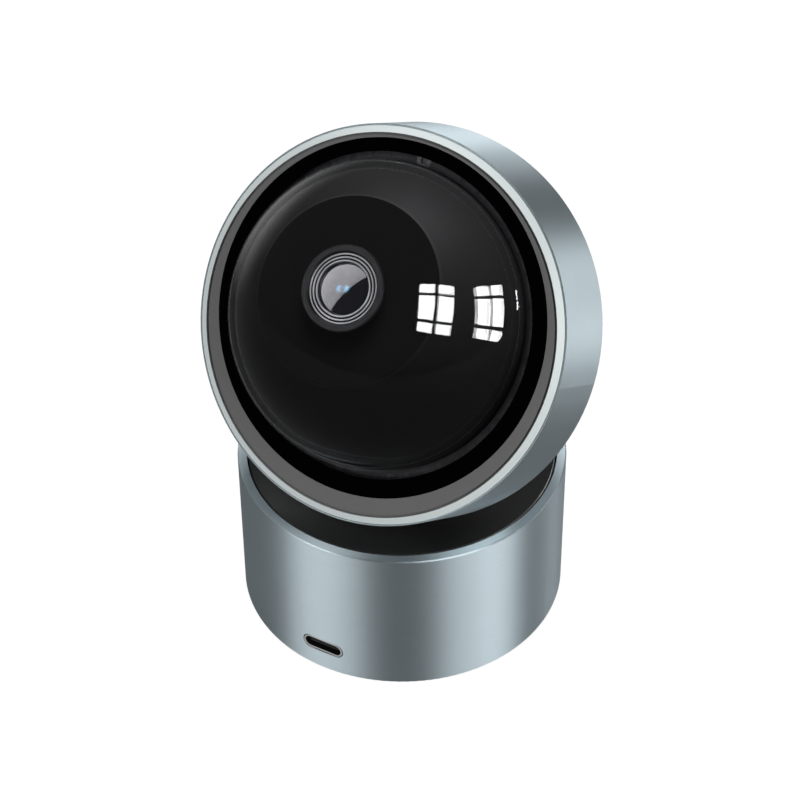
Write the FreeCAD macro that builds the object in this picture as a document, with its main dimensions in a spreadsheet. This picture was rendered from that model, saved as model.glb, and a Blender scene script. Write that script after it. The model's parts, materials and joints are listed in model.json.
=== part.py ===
import FreeCAD, Part
import math
import os
import Sketcher
from FreeCAD import Placement, Rotation, Vector

# Pan-tilt security camera, millimetres and degrees.
# Z is up, the floor is z = 0, the pan axis is Z and the front is -Y.
# The head is drawn at its resting elevation. In the head's own frame X is right, Y up and Z forward.

DIMENSIONS = [
    # Base
    ("base_radius", 34.0, "outer radius of the base shell"),
    ("base_height", 34.85, "height of the rim above the floor"),
    ("base_wall", 1.9, "wall of the base shell"),
    ("skirt_height", 0.25, "gap between the floor and the base shell"),
    ("base_edge_round", 0.15, "rounding of the lower edge of the base shell"),
    ("rim_round", 0.25, "rounding of the outer edge of the rim"),
    ("cover_thickness", 2.55, "thickness of the bottom cover"),
    ("seat_gap", 0.05, "gap between pieces that are pushed together"),
    ("run_gap", 0.05, "radial gap of a shaft in its bush"),
    ("foot_inset", 2.8, "distance of the rubber foot ring from the base surface"),
    ("foot_width", 2.8, "radial width of the rubber foot ring"),
    ("foot_seat", 0.8, "depth of the groove for the foot ring"),
    ("insert_radius", 4.2, "outer radius of the tripod insert"),
    ("insert_thread_radius", 3.1, "radius of the quarter-inch tripod thread"),
    ("insert_proud", 0.1, "how far the tripod insert stands out under the cover"),
    ("insert_length", 7.9, "length of the tripod insert"),
    ("insert_roof", 1.2, "closed end of the tripod socket"),
    ("boss_wall", 2.2, "wall around the tripod insert"),
    ("leg_inset", 9.5, "distance of the chassis legs' axes from the base surface"),
    ("leg_angle", 50.0, "angle of the chassis legs from the side"),
    ("leg_radius", 3.0, "radius of a chassis leg"),
    ("deck_drop", 6.5, "how far the chassis deck's underside lies under the hub flange"),
    ("deck_thickness", 2.0, "thickness of the chassis deck"),
    ("deck_gap", 0.3, "gap between the deck and the base shell"),
    ("screw_radius", 1.0, "shank radius of the large screws"),
    ("screw_head_radius", 1.9, "head radius of the large screws"),
    ("screw_head_height", 1.0, "head height of the large screws"),
    ("screw_recess", 1.2, "depth of the recess for a screw head"),
    ("cover_screw_bite", 6.5, "thread length of a cover screw in its leg"),
    ("small_screw_radius", 0.8, "shank radius of the small screws"),
    ("small_head_radius", 1.5, "head radius of the small screws"),
    ("small_head_height", 0.8, "head height of the small screws"),
    ("hex_radius", 0.75, "corner radius of the hexagon in a screw head"),
    ("hex_depth", 0.5, "depth of the hexagon in a screw head"),
    # USB inlet
    ("port_height", 6.45, "height of the USB-C inlet above the floor"),
    ("port_slot_width", 9.4, "width of the slot in the base shell"),
    ("port_slot_height", 3.75, "height of the slot in the base shell"),
    ("usb_width", 8.94, "width of the USB-C shell"),
    ("usb_thickness", 3.2, "height of the USB-C shell"),
    ("usb_wall", 0.3, "wall of the USB-C shell"),
    ("usb_length", 7.3, "length of the USB-C shell"),
    ("usb_inset", 0.25, "how far the USB-C shell lies behind the base surface"),
    ("usb_tongue_width", 6.7, "width of the USB-C tongue"),
    ("usb_tongue_thickness", 0.7, "thickness of the USB-C tongue"),
    ("usb_tongue_length", 6.4, "length of the USB-C tongue"),
    ("tongue_root_length", 1.15, "length of the thick root of the USB-C tongue"),
    ("tongue_root_thickness", 1.6, "thickness of the root of the USB-C tongue"),
    ("base_board_gap", 0.75, "gap between the base board and the chassis legs"),
    ("base_board_back", 9.5, "distance of the base board's back edge from the axis"),
    ("board_inset", 6.0, "distance of the base board's front edge from the base surface"),
    ("board_thickness", 1.2, "thickness of the circuit boards"),
    ("board_post_radius", 1.8, "radius of the posts under the base board"),
    ("board_post_side", 9.5, "side offset of the posts under the base board"),
    ("board_post_front", 12.5, "front offset of the posts under the base board"),
    # Speaker
    ("speaker_half_width", 9.6, "half width of the speaker"),
    ("speaker_inset", 3.8, "distance of the speaker's front face from the base surface"),
    ("speaker_depth", 4.4, "depth of the speaker"),
    ("speaker_low", 2.8, "underside of the speaker"),
    ("speaker_gap", 0.8, "gap between the speaker and the chassis deck"),
    ("speaker_rim", 1.4, "width of the speaker frame around its cone"),
    ("cone_depth", 1.0, "depth of the speaker cone's seat"),
    ("cone_thickness", 0.5, "thickness of the speaker cone"),
    ("grille_hole_radius", 0.55, "radius of a speaker hole"),
    ("grille_pitch", 2.1, "distance between speaker holes"),
    ("grille_height", 8.0, "height of the middle row of speaker holes"),
    # Reset button
    ("reset_side", 6.0, "side offset of the reset button"),
    ("reset_front", 17.5, "front offset of the reset button"),
    ("reset_radius", 1.7, "radius of the reset button"),
    ("reset_stem_radius", 0.85, "radius of the reset button's stem"),
    ("reset_gap", 0.3, "radial gap around the reset button"),
    ("reset_inset", 0.4, "how far the button lies inside the cover"),
    ("reset_collar", 0.9, "extra radius of the collar that keeps the button in"),
    ("reset_collar_height", 0.6, "thickness of the collar"),
    ("reset_rest_gap", 0.2, "gap between the collar and the cover"),
    ("reset_travel", 0.3, "travel of the reset button"),
    ("reset_spare", 0.05, "space left above the button when it is pressed"),
    ("switch_width", 4.5, "width of the reset switch"),
    ("switch_height", 2.75, "height of the reset switch"),
    # Pan drive
    ("hub_bore", 6.0, "bore of the turret hub"),
    ("hub_radius", 9.0, "outer radius of the turret hub"),
    ("hub_overhang", 2.0, "how far the turret hub reaches under the deck"),
    ("bush_wall", 1.45, "wall of the hub bush"),
    ("bush_flange", 1.5, "width of the flange of the hub bush"),
    ("bush_flange_height", 0.5, "thickness of the flange of the hub bush"),
    ("bush_overhang", 0.4, "how far the hub bush stands out under the deck"),
    ("ring_height", 0.5, "thickness of the hub retaining ring"),
    ("ring_depth", 0.6, "depth of the groove for the retaining ring"),
    ("ring_width", 1.9, "radial width of the retaining ring"),
    ("ring_slot", 5.0, "opening of the retaining ring"),
    ("axial_gap", 0.2, "axial running gap"),
    ("gear_module", 0.5, "module of the tilt gears"),
    ("gear_slack", 0.12, "backlash of both gear pairs"),
    ("pressure_angle", 20.0, "pressure angle of both gear pairs"),
    ("tooth_top", 0.9, "height of a tooth above the pitch circle, in modules"),
    ("tooth_foot", 1.2, "depth of a tooth below the pitch circle, in modules"),
    ("pan_gear_teeth", 64, "teeth of the pan gear"),
    ("pinion_teeth", 16, "teeth of both pinions"),
    ("pan_gear_height", 3.2, "thickness of the pan gear"),
    ("pinion_height", 2.6, "thickness of the pan pinion"),
    ("motor_shaft_radius", 1.0, "radius of both motor shafts"),
    ("shaft_bite", 5.0, "length of a motor shaft inside its motor"),
    ("pan_motor_radius", 9.3, "radius of the pan motor"),
    ("pan_motor_space", 2.8, "gap between the pan motor and the base shell"),
    ("pan_motor_lift", 1.4, "gap between the pan motor and the bottom cover"),
    ("motor_plate", 1.0, "thickness of the motors' mounting plates"),
    ("pan_ear_reach", 12.4, "offset of the pan motor's screws"),
    ("ear_half_width", 2.5, "half width of a mounting ear"),
    ("motor_boss_radius", 2.6, "radius of the boss around a motor shaft"),
    # Turret
    ("flange_inset", 8.0, "distance of the hub flange's edge from the base surface"),
    ("flange_drop", 5.4, "how far the hub flange's underside lies under the dish's floor"),
    ("flange_thickness", 2.0, "thickness of the hub flange"),
    ("dish_gap", 0.35, "gap between the dish and the rim"),
    ("dish_drop", 0.25, "how far the dish edge lies below the rim"),
    ("dish_depth", 8.7, "depth of the dish"),
    ("dish_thickness", 1.6, "thickness of the dish"),
    ("dish_lip_height", 5.0, "height of the lip of the dish"),
    ("dish_round", 0.25, "rounding of the edge of the dish"),
    ("post_circle", 20.0, "radius of the circle of dish posts"),
    ("post_radius", 2.0, "radius of a dish post"),
    ("dish_screw_bite", 4.0, "thread length of a screw in its post"),
    # Neck
    ("head_clearance", 3.4, "gap between the dish's floor and the rear shell"),
    ("neck_lean", 25.0, "lean of the neck from the vertical"),
    ("neck_width", 14.0, "width of the neck"),
    ("neck_depth", 7.0, "thickness of the neck"),
    ("neck_boss_radius", 5.0, "radius of the neck around the tilt axle"),
    ("neck_gap", 0.3, "gap between the neck and the dish"),
    ("neck_foot_front", 9.0, "front edge of the foot of the neck"),
    ("neck_foot_back", 24.5, "back edge of the foot of the neck"),
    ("neck_foot_thickness", 1.5, "thickness of the foot of the neck"),
    ("neck_screw_side", 5.5, "side offset of the neck screws"),
    ("neck_screw_back", 11.6, "back offset of the neck screws"),
    ("channel_half_width", 4.0, "half width of the cable channel in the neck"),
    ("channel_front_wall", 2.0, "wall in front of the cable channel"),
    ("channel_top", 9.0, "distance of the channel's upper end from the tilt axis"),
    ("channel_entry", 2.5, "height of the cable entry at the foot"),
    ("neck_cover_thickness", 1.5, "thickness of the neck cover"),
    ("cable_radius", 0.7, "radius of the cable harness"),
    ("cable_bend", 2.4, "bend radius of the cable harness"),
    ("axle_radius", 2.0, "radius of the tilt axle"),
    ("axle_half_length", 14.6, "half length of the tilt axle"),
    # Tilt drive
    ("tilt_gear_teeth", 56, "teeth of a full circle of the tilt gear"),
    ("tilt_gear_width", 2.4, "thickness of the tilt gear"),
    ("tilt_gear_hub", 5.0, "hub radius of the tilt gear"),
    ("sector_spare", 10.0, "angle of spare teeth at each end of the tilt gear"),
    ("pinion_angle", 65.0, "direction of the tilt pinion, from up towards the rear of the head"),
    ("tilt_pinion_side", 7.5, "side offset of the tilt pinion"),
    ("tilt_pinion_width", 1.8, "thickness of the tilt pinion"),
    ("tilt_motor_radius", 8.0, "radius of the tilt motor"),
    ("tilt_motor_space", 28.0, "difference of the rear shell's radius and the tilt motor's length"),
    ("tilt_ear_reach", 10.4, "offset of the tilt motor's screws"),
    ("rest_elevation", 33.0, "elevation of the head as drawn"),
    ("lowest_elevation", -5.0, "lowest elevation of the head"),
    ("highest_elevation", 60.0, "highest elevation of the head"),
    # Drum
    ("ring_plane", 11.6, "front edge of the trim ring, from the tilt axis"),
    ("drum_taper", 0.7, "how much smaller the drum is at its front edge"),
    ("drum_back_radius", 39.9, "largest radius of the drum"),
    ("drum_step", 0.7, "how far the drum's front edge lies behind the ring plane"),
    ("drum_back", 6.4, "start of the drum's rear rounding behind the tilt axis"),
    ("drum_round", 3.0, "radius of the drum's rear rounding"),
    ("drum_wall", 2.3, "wall of the drum"),
    ("drum_lip", 0.25, "width of the drum's front lip"),
    ("ledge_depth", 0.5, "depth of the seat of the trim ring"),
    ("drum_boss_inset", 3.2, "distance of the drum bosses' axes from the bore"),
    ("drum_boss_radius", 3.3, "radius of a drum boss"),
    ("drum_boss_depth", 5.0, "length of a drum boss"),
    ("trim_width", 1.7, "width of the trim ring with the drum's lip"),
    ("trim_gap", 0.15, "gap between the trim ring and the drum's lip"),
    ("trim_outer_height", 0.62, "drop of the trim ring's chamfer"),
    ("rear_step", 1.0, "how much larger the rear shell's sphere is than the drum's bore"),
    ("rear_wall", 1.8, "wall of the rear shell"),
    ("rear_spigot_end", 4.0, "front end of the rear shell inside the drum, behind the tilt axis"),
    ("rear_spigot_wall", 1.5, "wall of the rear shell inside the drum"),
    ("slot_gap", 0.8, "gap between the neck and its slot"),
    ("shutter_gap", 2.6, "gap between the slot shutter and the rear shell"),
    ("shutter_wall", 0.6, "thickness of the slot shutter"),
    ("shutter_overlap", 1.6, "how far the shutter reaches past each side of the slot"),
    ("shutter_front", 0.0, "front end of the slot shutter, from straight down towards the rear"),
    ("shutter_back", 75.0, "back end of the slot shutter"),
    # Front of the head
    ("bezel_gap", 0.5, "width of the groove between the front bezel and the trim ring"),
    ("bezel_groove", 0.65, "depth of the groove between the front bezel and the trim ring"),
    ("bezel_drop", 0.05, "how far the bezel lies behind the ring plane"),
    ("bezel_side", 1.9, "difference of the bezel's outer and inner radius"),
    ("window_rise", 1.47, "how far the window ring sits above the middle of the head"),
    ("window_gap", 0.06, "gap around the window ring"),
    ("carrier_step", 0.2, "how far the face carrier lies behind the seat of the trim ring"),
    ("carrier_thickness", 1.4, "thickness of the face carrier"),
    ("carrier_margin", 3.93, "difference of the dome's radius and the carrier's opening"),
    ("carrier_screw_inset", 4.3, "distance of the carrier screws from the bore"),
    ("carrier_stud_radius", 1.8, "radius of a carrier stud"),
    ("carrier_screw_bite", 3.6, "length of a carrier screw under its head"),
    ("chassis_step", 2.6, "how far the chassis plate lies behind the face carrier's front"),
    ("chassis_plate", 1.6, "thickness of the head chassis plate"),
    ("chassis_rim_wall", 0.9, "wall of the head chassis rim"),
    ("chassis_screw_bite", 4.6, "length of a chassis screw under its head"),
    ("cheek_side", 10.8, "inner face of a chassis cheek"),
    ("cheek_thickness", 2.0, "thickness of a chassis cheek"),
    ("cheek_low", 7.0, "how far a cheek reaches below the tilt axis"),
    ("cheek_high", 21.5, "how far the motor cheek reaches above the tilt axis"),
    ("cheek_back", 24.0, "how far the motor cheek reaches behind the tilt axis"),
    ("plain_cheek_high", 12.0, "how far the plain cheek reaches above the tilt axis"),
    ("plain_cheek_back", 8.0, "how far the plain cheek reaches behind the tilt axis"),
    ("tilt_bush_wall", 1.6, "wall of a tilt bush"),
    ("tilt_bush_overhang", 0.4, "how far a tilt bush stands out of its cheek"),
    # Dome and camera module
    ("window_width", 2.67, "difference of the window ring's radius and the dome's radius"),
    ("dome_wall", 1.2, "wall of the dome"),
    ("dome_rise", 2.03, "how far the dome's middle sits above the middle of the head"),
    ("dome_sink", 6.57, "how far the dome's middle lies behind the ring plane"),
    ("dome_flange_width", 0.77, "width of the dome's flange"),
    ("dome_flange_height", 1.0, "thickness of the dome's flange"),
    ("lens_tilt", 13.5, "upward tilt of the lens against the head"),
    ("shroud_gap", 1.73, "difference of the dome's and the lens shroud's outer radius"),
    ("shroud_wall", 1.2, "wall of the lens shroud"),
    ("shroud_face_depth", 7.73, "depth of the shroud's front face inside the dome's radius"),
    ("shroud_back", -3.0, "rear limit of the lens shroud, from the dome's middle"),
    ("shroud_hole_gap", 0.1, "gap between the neck of the lens bezel and the shroud"),
    ("module_post_offset", 8.5, "offset of the posts behind the shroud"),
    ("module_post_radius", 1.5, "radius of the posts behind the shroud"),
    ("lens_bezel_radius", 8.35, "outer radius of the lens bezel"),
    ("lens_bezel_depth", 4.73, "depth of the lens bezel's front inside the dome's radius"),
    ("lens_bezel_length", 5.6, "length of the lens bezel"),
    ("lens_bezel_round", 0.3, "rounding of the lens bezel"),
    ("lens_bezel_lip", 0.6, "thickness of the lip of the lens bezel"),
    ("lens_bezel_neck", 7.45, "radius of the lens bezel behind its lip"),
    ("barrel_radius", 6.8, "head radius of the lens barrel"),
    ("barrel_inset", 1.1, "how far the barrel lies behind the lens bezel's front"),
    ("barrel_head_length", 7.6, "length of the head of the lens barrel"),
    ("barrel_thread_length", 6.0, "length of the thread of the lens barrel"),
    ("barrel_thread_radius", 6.0, "thread radius of the lens barrel"),
    ("front_glass_radius", 5.4, "radius of the front lens element"),
    ("front_glass_depth", 4.1, "depth of the front lens element's back in the barrel"),
    ("front_glass_edge", 3.9, "edge thickness of the front lens element"),
    ("front_glass_crown", 1.0, "crown of the front lens element"),
    ("stop_radius", 3.0, "radius of the aperture stop"),
    ("stop_depth", 5.6, "depth of the aperture stop in the barrel"),
    ("stop_thickness", 1.0, "thickness of the aperture stop"),
    ("rear_glass_radius", 4.2, "radius of the rear lens element"),
    ("rear_glass_inset", 1.8, "distance of the rear lens element from the barrel's end"),
    ("rear_glass_edge", 1.8, "edge thickness of the rear lens element"),
    ("rear_glass_crown", 0.7, "crown of the rear lens element"),
    ("trim_ring_base", 0.15, "thickness of the lens trim rings under their grooves"),
    ("trim_crest_width", 0.35, "width of a crest of the lens trim rings"),
    ("trim_crest_height", 0.35, "height of a crest's side above the grooves"),
    ("trim_crest_round", 0.2, "radius of the top of a crest"),
    ("trim_groove_width", 0.3, "width of a groove of the lens trim rings"),
    ("holder_radius", 7.6, "radius of the lens holder"),
    ("holder_base_radius", 8.4, "radius of the lens holder's foot"),
    ("holder_base_height", 1.8, "height of the lens holder's foot"),
    ("holder_cavity", 5.4, "radius of the space around the image sensor"),
    ("holder_top_gap", 0.2, "gap between the lens holder and the barrel's shoulder"),
    ("sensor_gap", 3.8, "gap between the lens barrel and the sensor board"),
    ("sensor_board_width", 21.0, "width of the sensor board"),
    ("sensor_width", 7.0, "width of the image sensor"),
    ("sensor_depth", 6.0, "height of the image sensor"),
    ("sensor_thickness", 1.0, "thickness of the image sensor"),
    ("led_board_depth", 2.0, "how far the infrared LED board lies behind the shroud's front"),
    ("led_board_thickness", 0.8, "thickness of the infrared LED board"),
    ("led_board_inner", 9.0, "inner radius of the infrared LED board"),
    ("led_board_outer", 16.6, "outer radius of the infrared LED board"),
    ("led_circle", 12.8, "radius of the circle of infrared LEDs"),
    ("led_radius", 1.5, "radius of an infrared LED"),
    ("led_height", 0.7, "height of an infrared LED"),
    # Main board
    ("main_board_half_width", 18.0, "half width of the main board"),
    ("main_board_low", 17.0, "how far the main board reaches below the middle"),
    ("main_board_high", 18.0, "how far the main board reaches above the middle"),
    ("main_board_stand", 0.8, "height of the studs under the main board"),
    ("main_stud_inset", 3.0, "inset of the studs from the main board's corners"),
    ("shield_half_width", 8.0, "half width of the processor shield"),
    ("shield_low", 15.5, "how far the processor shield reaches below the middle"),
    ("shield_length", 12.0, "length of the processor shield"),
    ("shield_height", 1.8, "height of the processor shield"),
    ("wifi_side", 9.5, "side offset of the radio module"),
    ("wifi_width", 7.5, "width of the radio module"),
    ("wifi_length", 11.0, "length of the radio module"),
    ("wifi_height", 1.4, "height of the radio module"),
]

CUT_SPARE = 1.0
FLANK_STEPS = 4
CORNERS = ((1, 1), (-1, 1), (-1, -1), (1, -1))

doc = FreeCAD.newDocument("pan_tilt_camera")
sheet = doc.addObject("Spreadsheet::Sheet", "Sizes")
for row, (alias, number, note) in enumerate(DIMENSIONS, start=1):
    sheet.set(f"A{row}", note)
    sheet.set(f"B{row}", str(number))
    sheet.setAlias(f"B{row}", alias)
doc.recompute()


class Size:
    """A number together with the sheet expression that gives it."""

    def __init__(self, text, value):
        self.text = text
        self.value = float(value)

    def __add__(self, other):
        other = as_size(other)
        return Size(f"({self.text} + {other.text})", self.value + other.value)

    def __radd__(self, other):
        return as_size(other) + self

    def __sub__(self, other):
        other = as_size(other)
        return Size(f"({self.text} - {other.text})", self.value - other.value)

    def __rsub__(self, other):
        return as_size(other) - self

    def __mul__(self, other):
        other = as_size(other)
        return Size(f"({self.text} * {other.text})", self.value * other.value)

    def __rmul__(self, other):
        return as_size(other) * self

    def __truediv__(self, other):
        other = as_size(other)
        return Size(f"({self.text} / {other.text})", self.value / other.value)

    def __neg__(self):
        return as_size(0) - self


def as_size(value):
    return value if isinstance(value, Size) else Size(f"({value})", value)


def sine(angle):
    angle = as_size(angle)
    return Size(f"sin({angle.text})", math.sin(math.radians(angle.value)))


def cosine(angle):
    angle = as_size(angle)
    return Size(f"cos({angle.text})", math.cos(math.radians(angle.value)))


def leg(long_side, short_side):
    """Third side of a right triangle."""
    square = long_side * long_side - short_side * short_side
    return Size(f"sqrt({square.text})", math.sqrt(square.value))


def cap_radius(half_chord, rise):
    """Radius of an arc with this half chord and rise."""
    return (half_chord * half_chord + rise * rise) / (2 * rise)


class Sheet:
    """The driving dimensions by name."""


d = Sheet()
for alias, number, note in DIMENSIONS:
    setattr(d, alias, Size(f"Sizes.{alias}", sheet.get(alias)))

# Sizes that follow from the others: base

d.foot_outer_radius = d.base_radius - d.foot_inset
d.leg_circle = d.base_radius - d.leg_inset
d.base_board_front = d.base_radius - d.board_inset
d.speaker_back = d.base_radius - d.speaker_inset
d.flange_radius = d.base_radius - d.flange_inset
d.dish_floor = d.base_height - d.dish_drop - d.dish_depth
d.flange_low = d.dish_floor - d.flange_drop
d.deck_low = d.flange_low - d.deck_drop
d.hub_low = d.deck_low - d.hub_overhang
d.base_board_half_width = d.leg_circle * cosine(d.leg_angle) - d.leg_radius - d.base_board_gap
d.speaker_height = d.deck_low - d.speaker_low - d.speaker_gap

# Sizes that follow from the others: shells and front of the head

d.drum_bore = d.drum_back_radius - d.drum_wall
d.drum_front_radius = d.drum_back_radius - d.drum_taper
d.drum_boss_circle = d.drum_bore - d.drum_boss_inset
d.carrier_screw_circle = d.drum_bore - d.carrier_screw_inset
d.trim_inner_radius = d.drum_front_radius - d.trim_width
d.bezel_radius = d.trim_inner_radius - d.bezel_gap
d.window_radius = d.bezel_radius - d.bezel_side
d.dome_radius = d.window_radius - d.window_width
d.dome_flange_radius = d.dome_radius + d.dome_flange_width
d.carrier_opening = d.dome_radius - d.carrier_margin
d.rear_radius = d.drum_bore + d.rear_step
d.tilt_motor_length = d.rear_radius - d.tilt_motor_space
d.shutter_radius = d.rear_radius - d.rear_wall - d.shutter_gap
d.shutter_half_width = d.neck_width / 2 + d.slot_gap + d.shutter_overlap
d.tilt_height = d.dish_floor + d.head_clearance + d.rear_radius
d.drum_front = d.ring_plane - d.drum_step
d.drum_ledge = d.drum_front - d.ledge_depth
d.carrier_front = d.drum_ledge - d.carrier_step
d.chassis_front = d.carrier_front - d.chassis_step
d.dome_forward = d.ring_plane - d.dome_sink

# Sizes that follow from the others: lens, measured from the dome's middle

d.shroud_radius = d.dome_radius - d.shroud_gap
d.shroud_front = d.dome_radius - d.shroud_face_depth
d.lens_bezel_front = d.dome_radius - d.lens_bezel_depth
d.barrel_front = d.lens_bezel_front - d.barrel_inset
d.barrel_shoulder = d.barrel_front - d.barrel_head_length
d.barrel_back = d.barrel_shoulder - d.barrel_thread_length
d.front_glass_back = d.barrel_front - d.front_glass_depth
d.stop_front = d.barrel_front - d.stop_depth
d.rear_glass_back = d.barrel_back + d.rear_glass_inset
d.sensor_board_front = d.barrel_back - d.sensor_gap
d.led_board_front = d.shroud_front - d.led_board_depth


class Frame:
    """A local frame: an origin and a turn about X, inside the object's frame."""

    def __init__(self, origin=(0, 0, 0), turn=0):
        self.origin = [as_size(value) for value in origin]
        self.turn = as_size(turn)

    def point(self, x, y, z):
        across, down = cosine(self.turn), sine(self.turn)
        return (
            self.origin[0] + x,
            self.origin[1] + y * across - z * down,
            self.origin[2] + y * down + z * across,
        )

    def inner(self, y, z, turn):
        """A frame inside this one, moved by y and z and turned further about X."""
        return Frame(self.point(as_size(0), as_size(y), as_size(z)), self.turn + turn)


FIXED = Frame()
HEAD = Frame((0, 0, d.tilt_height), 90 - d.rest_elevation)
LENS = HEAD.inner(d.dome_rise, d.dome_forward, -d.lens_tilt)
NECK = Frame((0, 0, d.tilt_height), d.neck_lean)


def place(item, frame, x=0, y=0, z=0, spin=None):
    """Put an object at a point of a frame; spin is its own turn before the frame's turn."""
    x, y, z = frame.point(as_size(x), as_size(y), as_size(z))
    turned = Rotation(Vector(1, 0, 0), frame.turn.value)
    if spin:
        turned = turned.multiply(spin)
    item.Placement = Placement(Vector(x.value, y.value, z.value), turned)
    for axis, size in (("x", x), ("y", y), ("z", z)):
        item.setExpression(f"Placement.Base.{axis}", size.text)
    if spin is None and frame is not FIXED:
        item.setExpression("Placement.Rotation.Angle", frame.turn.text)
    return item


ALONG_X = Rotation(Vector(0, 1, 0), 90)
ALONG_Y = Rotation(Vector(1, 0, 0), 90)

parts = {}


def finish(node, item, frame=FIXED, x=0, y=0, z=0):
    """Name a finished piece and put it in place."""
    item.Label = node
    if frame is not FIXED or (x, y, z) != (0, 0, 0):
        place(item, frame, x, y, z)
    parts[node] = item
    return item


# Sketches and bodies

def body(name):
    return doc.addObject("PartDesign::Body", name)


def sketch_on(owner, name, role):
    plane = next(item for item in owner.Origin.OriginFeatures if item.Role == role)
    drawn = owner.newObject("Sketcher::SketchObject", name)
    drawn.AttachmentSupport = [(plane, "")]
    drawn.MapMode = "FlatFace"
    return drawn


def bind_point(drawn, geometry, position, x, y):
    """Tie a sketch point to two sheet expressions."""
    for kind, axis, size in (("DistanceX", -2, as_size(x)), ("DistanceY", -1, as_size(y))):
        if size.text == "(0)":
            drawn.addConstraint(Sketcher.Constraint("PointOnObject", geometry, position, axis))
            continue
        made = drawn.addConstraint(
            Sketcher.Constraint(kind, -1, 1, geometry, position, size.value)
        )
        drawn.setExpression(f"Constraints[{made}]", size.text)


def arc_between(first, second, radius):
    """The short arc from first to second; a positive radius has its centre on the left."""
    middle = (first + second) * 0.5
    chord = second - first
    left = Vector(-chord.y, chord.x, 0).normalize()
    height = math.sqrt(max(radius * radius - (chord.Length / 2) ** 2, 0))
    centre = middle + left * math.copysign(height, radius)
    circle = Part.Circle(centre, Vector(0, 0, 1), abs(radius))
    start, end = (first, second) if radius > 0 else (second, first)
    angles = [math.atan2((p - centre).y, (p - centre).x) for p in (start, end)]
    return Part.ArcOfCircle(circle, angles[0], angles[1])


def outline(drawn, corners):
    """A closed outline. A corner is (x, y), or (x, y, radius) where an arc leads to the next."""
    count = len(corners)
    points = [Vector(as_size(c[0]).value, as_size(c[1]).value, 0) for c in corners]
    first_geometry = drawn.GeometryCount
    starts = []
    ends = []
    for index, corner in enumerate(corners):
        here, there = points[index], points[(index + 1) % count]
        geometry = first_geometry + index
        if len(corner) == 3:
            radius = as_size(corner[2])
            drawn.addGeometry(arc_between(here, there, radius.value), False)
            made = drawn.addConstraint(
                Sketcher.Constraint("Radius", geometry, abs(radius.value))
            )
            drawn.setExpression(f"Constraints[{made}]", f"abs({radius.text})")
            starts.append((geometry, 1 if radius.value > 0 else 2))
            ends.append((geometry, 2 if radius.value > 0 else 1))
        else:
            drawn.addGeometry(Part.LineSegment(here, there), False)
            starts.append((geometry, 1))
            ends.append((geometry, 2))
    for index in range(count):
        following = starts[(index + 1) % count]
        drawn.addConstraint(Sketcher.Constraint("Coincident", *ends[index], *following))
    for (geometry, position), corner in zip(starts, corners):
        bind_point(drawn, geometry, position, corner[0], corner[1])


def circles(drawn, spots):
    """Circles (x, y, radius) on a sketch."""
    for x, y, radius in spots:
        x, y, radius = as_size(x), as_size(y), as_size(radius)
        geometry = drawn.addGeometry(
            Part.Circle(Vector(x.value, y.value, 0), Vector(0, 0, 1), radius.value), False
        )
        made = drawn.addConstraint(Sketcher.Constraint("Radius", geometry, radius.value))
        drawn.setExpression(f"Constraints[{made}]", radius.text)
        bind_point(drawn, geometry, 3, x, y)


def rounded_rectangle(x, y, width, height, corner):
    """Corners of a rounded rectangle around (x, y)."""
    side, top = width / 2, height / 2
    return [
        (x - side + corner, y - top),
        (x + side - corner, y - top, corner),
        (x + side, y - top + corner),
        (x + side, y + top - corner, corner),
        (x + side - corner, y + top),
        (x - side + corner, y + top, corner),
        (x - side, y + top - corner),
        (x - side, y - top + corner, corner),
    ]


def revolve(owner, name, corners):
    """Turn an outline of (radius, height) about the body's Z axis."""
    drawn = sketch_on(owner, f"{name}_profile", "XZ_Plane")
    outline(drawn, corners)
    turned = owner.newObject("PartDesign::Revolution", name)
    turned.Profile = drawn
    turned.ReferenceAxis = (drawn, ["V_Axis"])
    turned.Angle = 360
    drawn.Visibility = False
    return turned


def pocket(owner, drawn, name, length, backwards=False):
    """Cut a sketch out of the body, against its normal or, if backwards, along it."""
    cut_out = owner.newObject("PartDesign::Pocket", name)
    cut_out.Profile = drawn
    cut_out.Type = 0
    cut_out.Reversed = backwards
    cut_out.setExpression("Length", as_size(length).text)
    return cut_out


def turned_part(node, corners, frame=FIXED, x=0, y=0, z=0):
    """A piece that is only an outline turned about an axis."""
    owner = body(node)
    revolve(owner, f"{node}_turned", corners)
    return finish(node, owner, frame, x, y, z)


# Solids and booleans

def box(name, x, y, z, frame=FIXED):
    """A box from three (low, high) pairs."""
    made = doc.addObject("Part::Box", name)
    spans = [(as_size(low), as_size(high)) for low, high in (x, y, z)]
    for side, (low, high) in zip(("Length", "Width", "Height"), spans):
        made.setExpression(side, (high - low).text)
    return place(made, frame, *[low for low, high in spans])


def cylinder(name, radius, low, high, x=0, y=0, frame=FIXED):
    """An upright cylinder of a frame at (x, y) from low to high."""
    made = doc.addObject("Part::Cylinder", name)
    made.setExpression("Radius", as_size(radius).text)
    made.setExpression("Height", (as_size(high) - low).text)
    return place(made, frame, x, y, low)


def crosswise(name, radius, low, high, y=0, z=0):
    """A cylinder along X at (y, z) from x = low to x = high."""
    made = doc.addObject("Part::Cylinder", name)
    made.setExpression("Radius", as_size(radius).text)
    made.setExpression("Height", (as_size(high) - low).text)
    return place(made, FIXED, low, y, z, ALONG_X)


def join(name, items):
    made = doc.addObject("Part::MultiFuse", name)
    made.Shapes = items
    made.Refine = True
    return made


def cut(name, base, tools):
    tool = tools[0] if len(tools) == 1 else join(f"{name}_tools", tools)
    made = doc.addObject("Part::Cut", name)
    made.Base = base
    made.Tool = tool
    made.Refine = True
    return made


def group(name, items):
    made = doc.addObject("Part::Compound", name)
    made.Links = items
    return made


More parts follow.
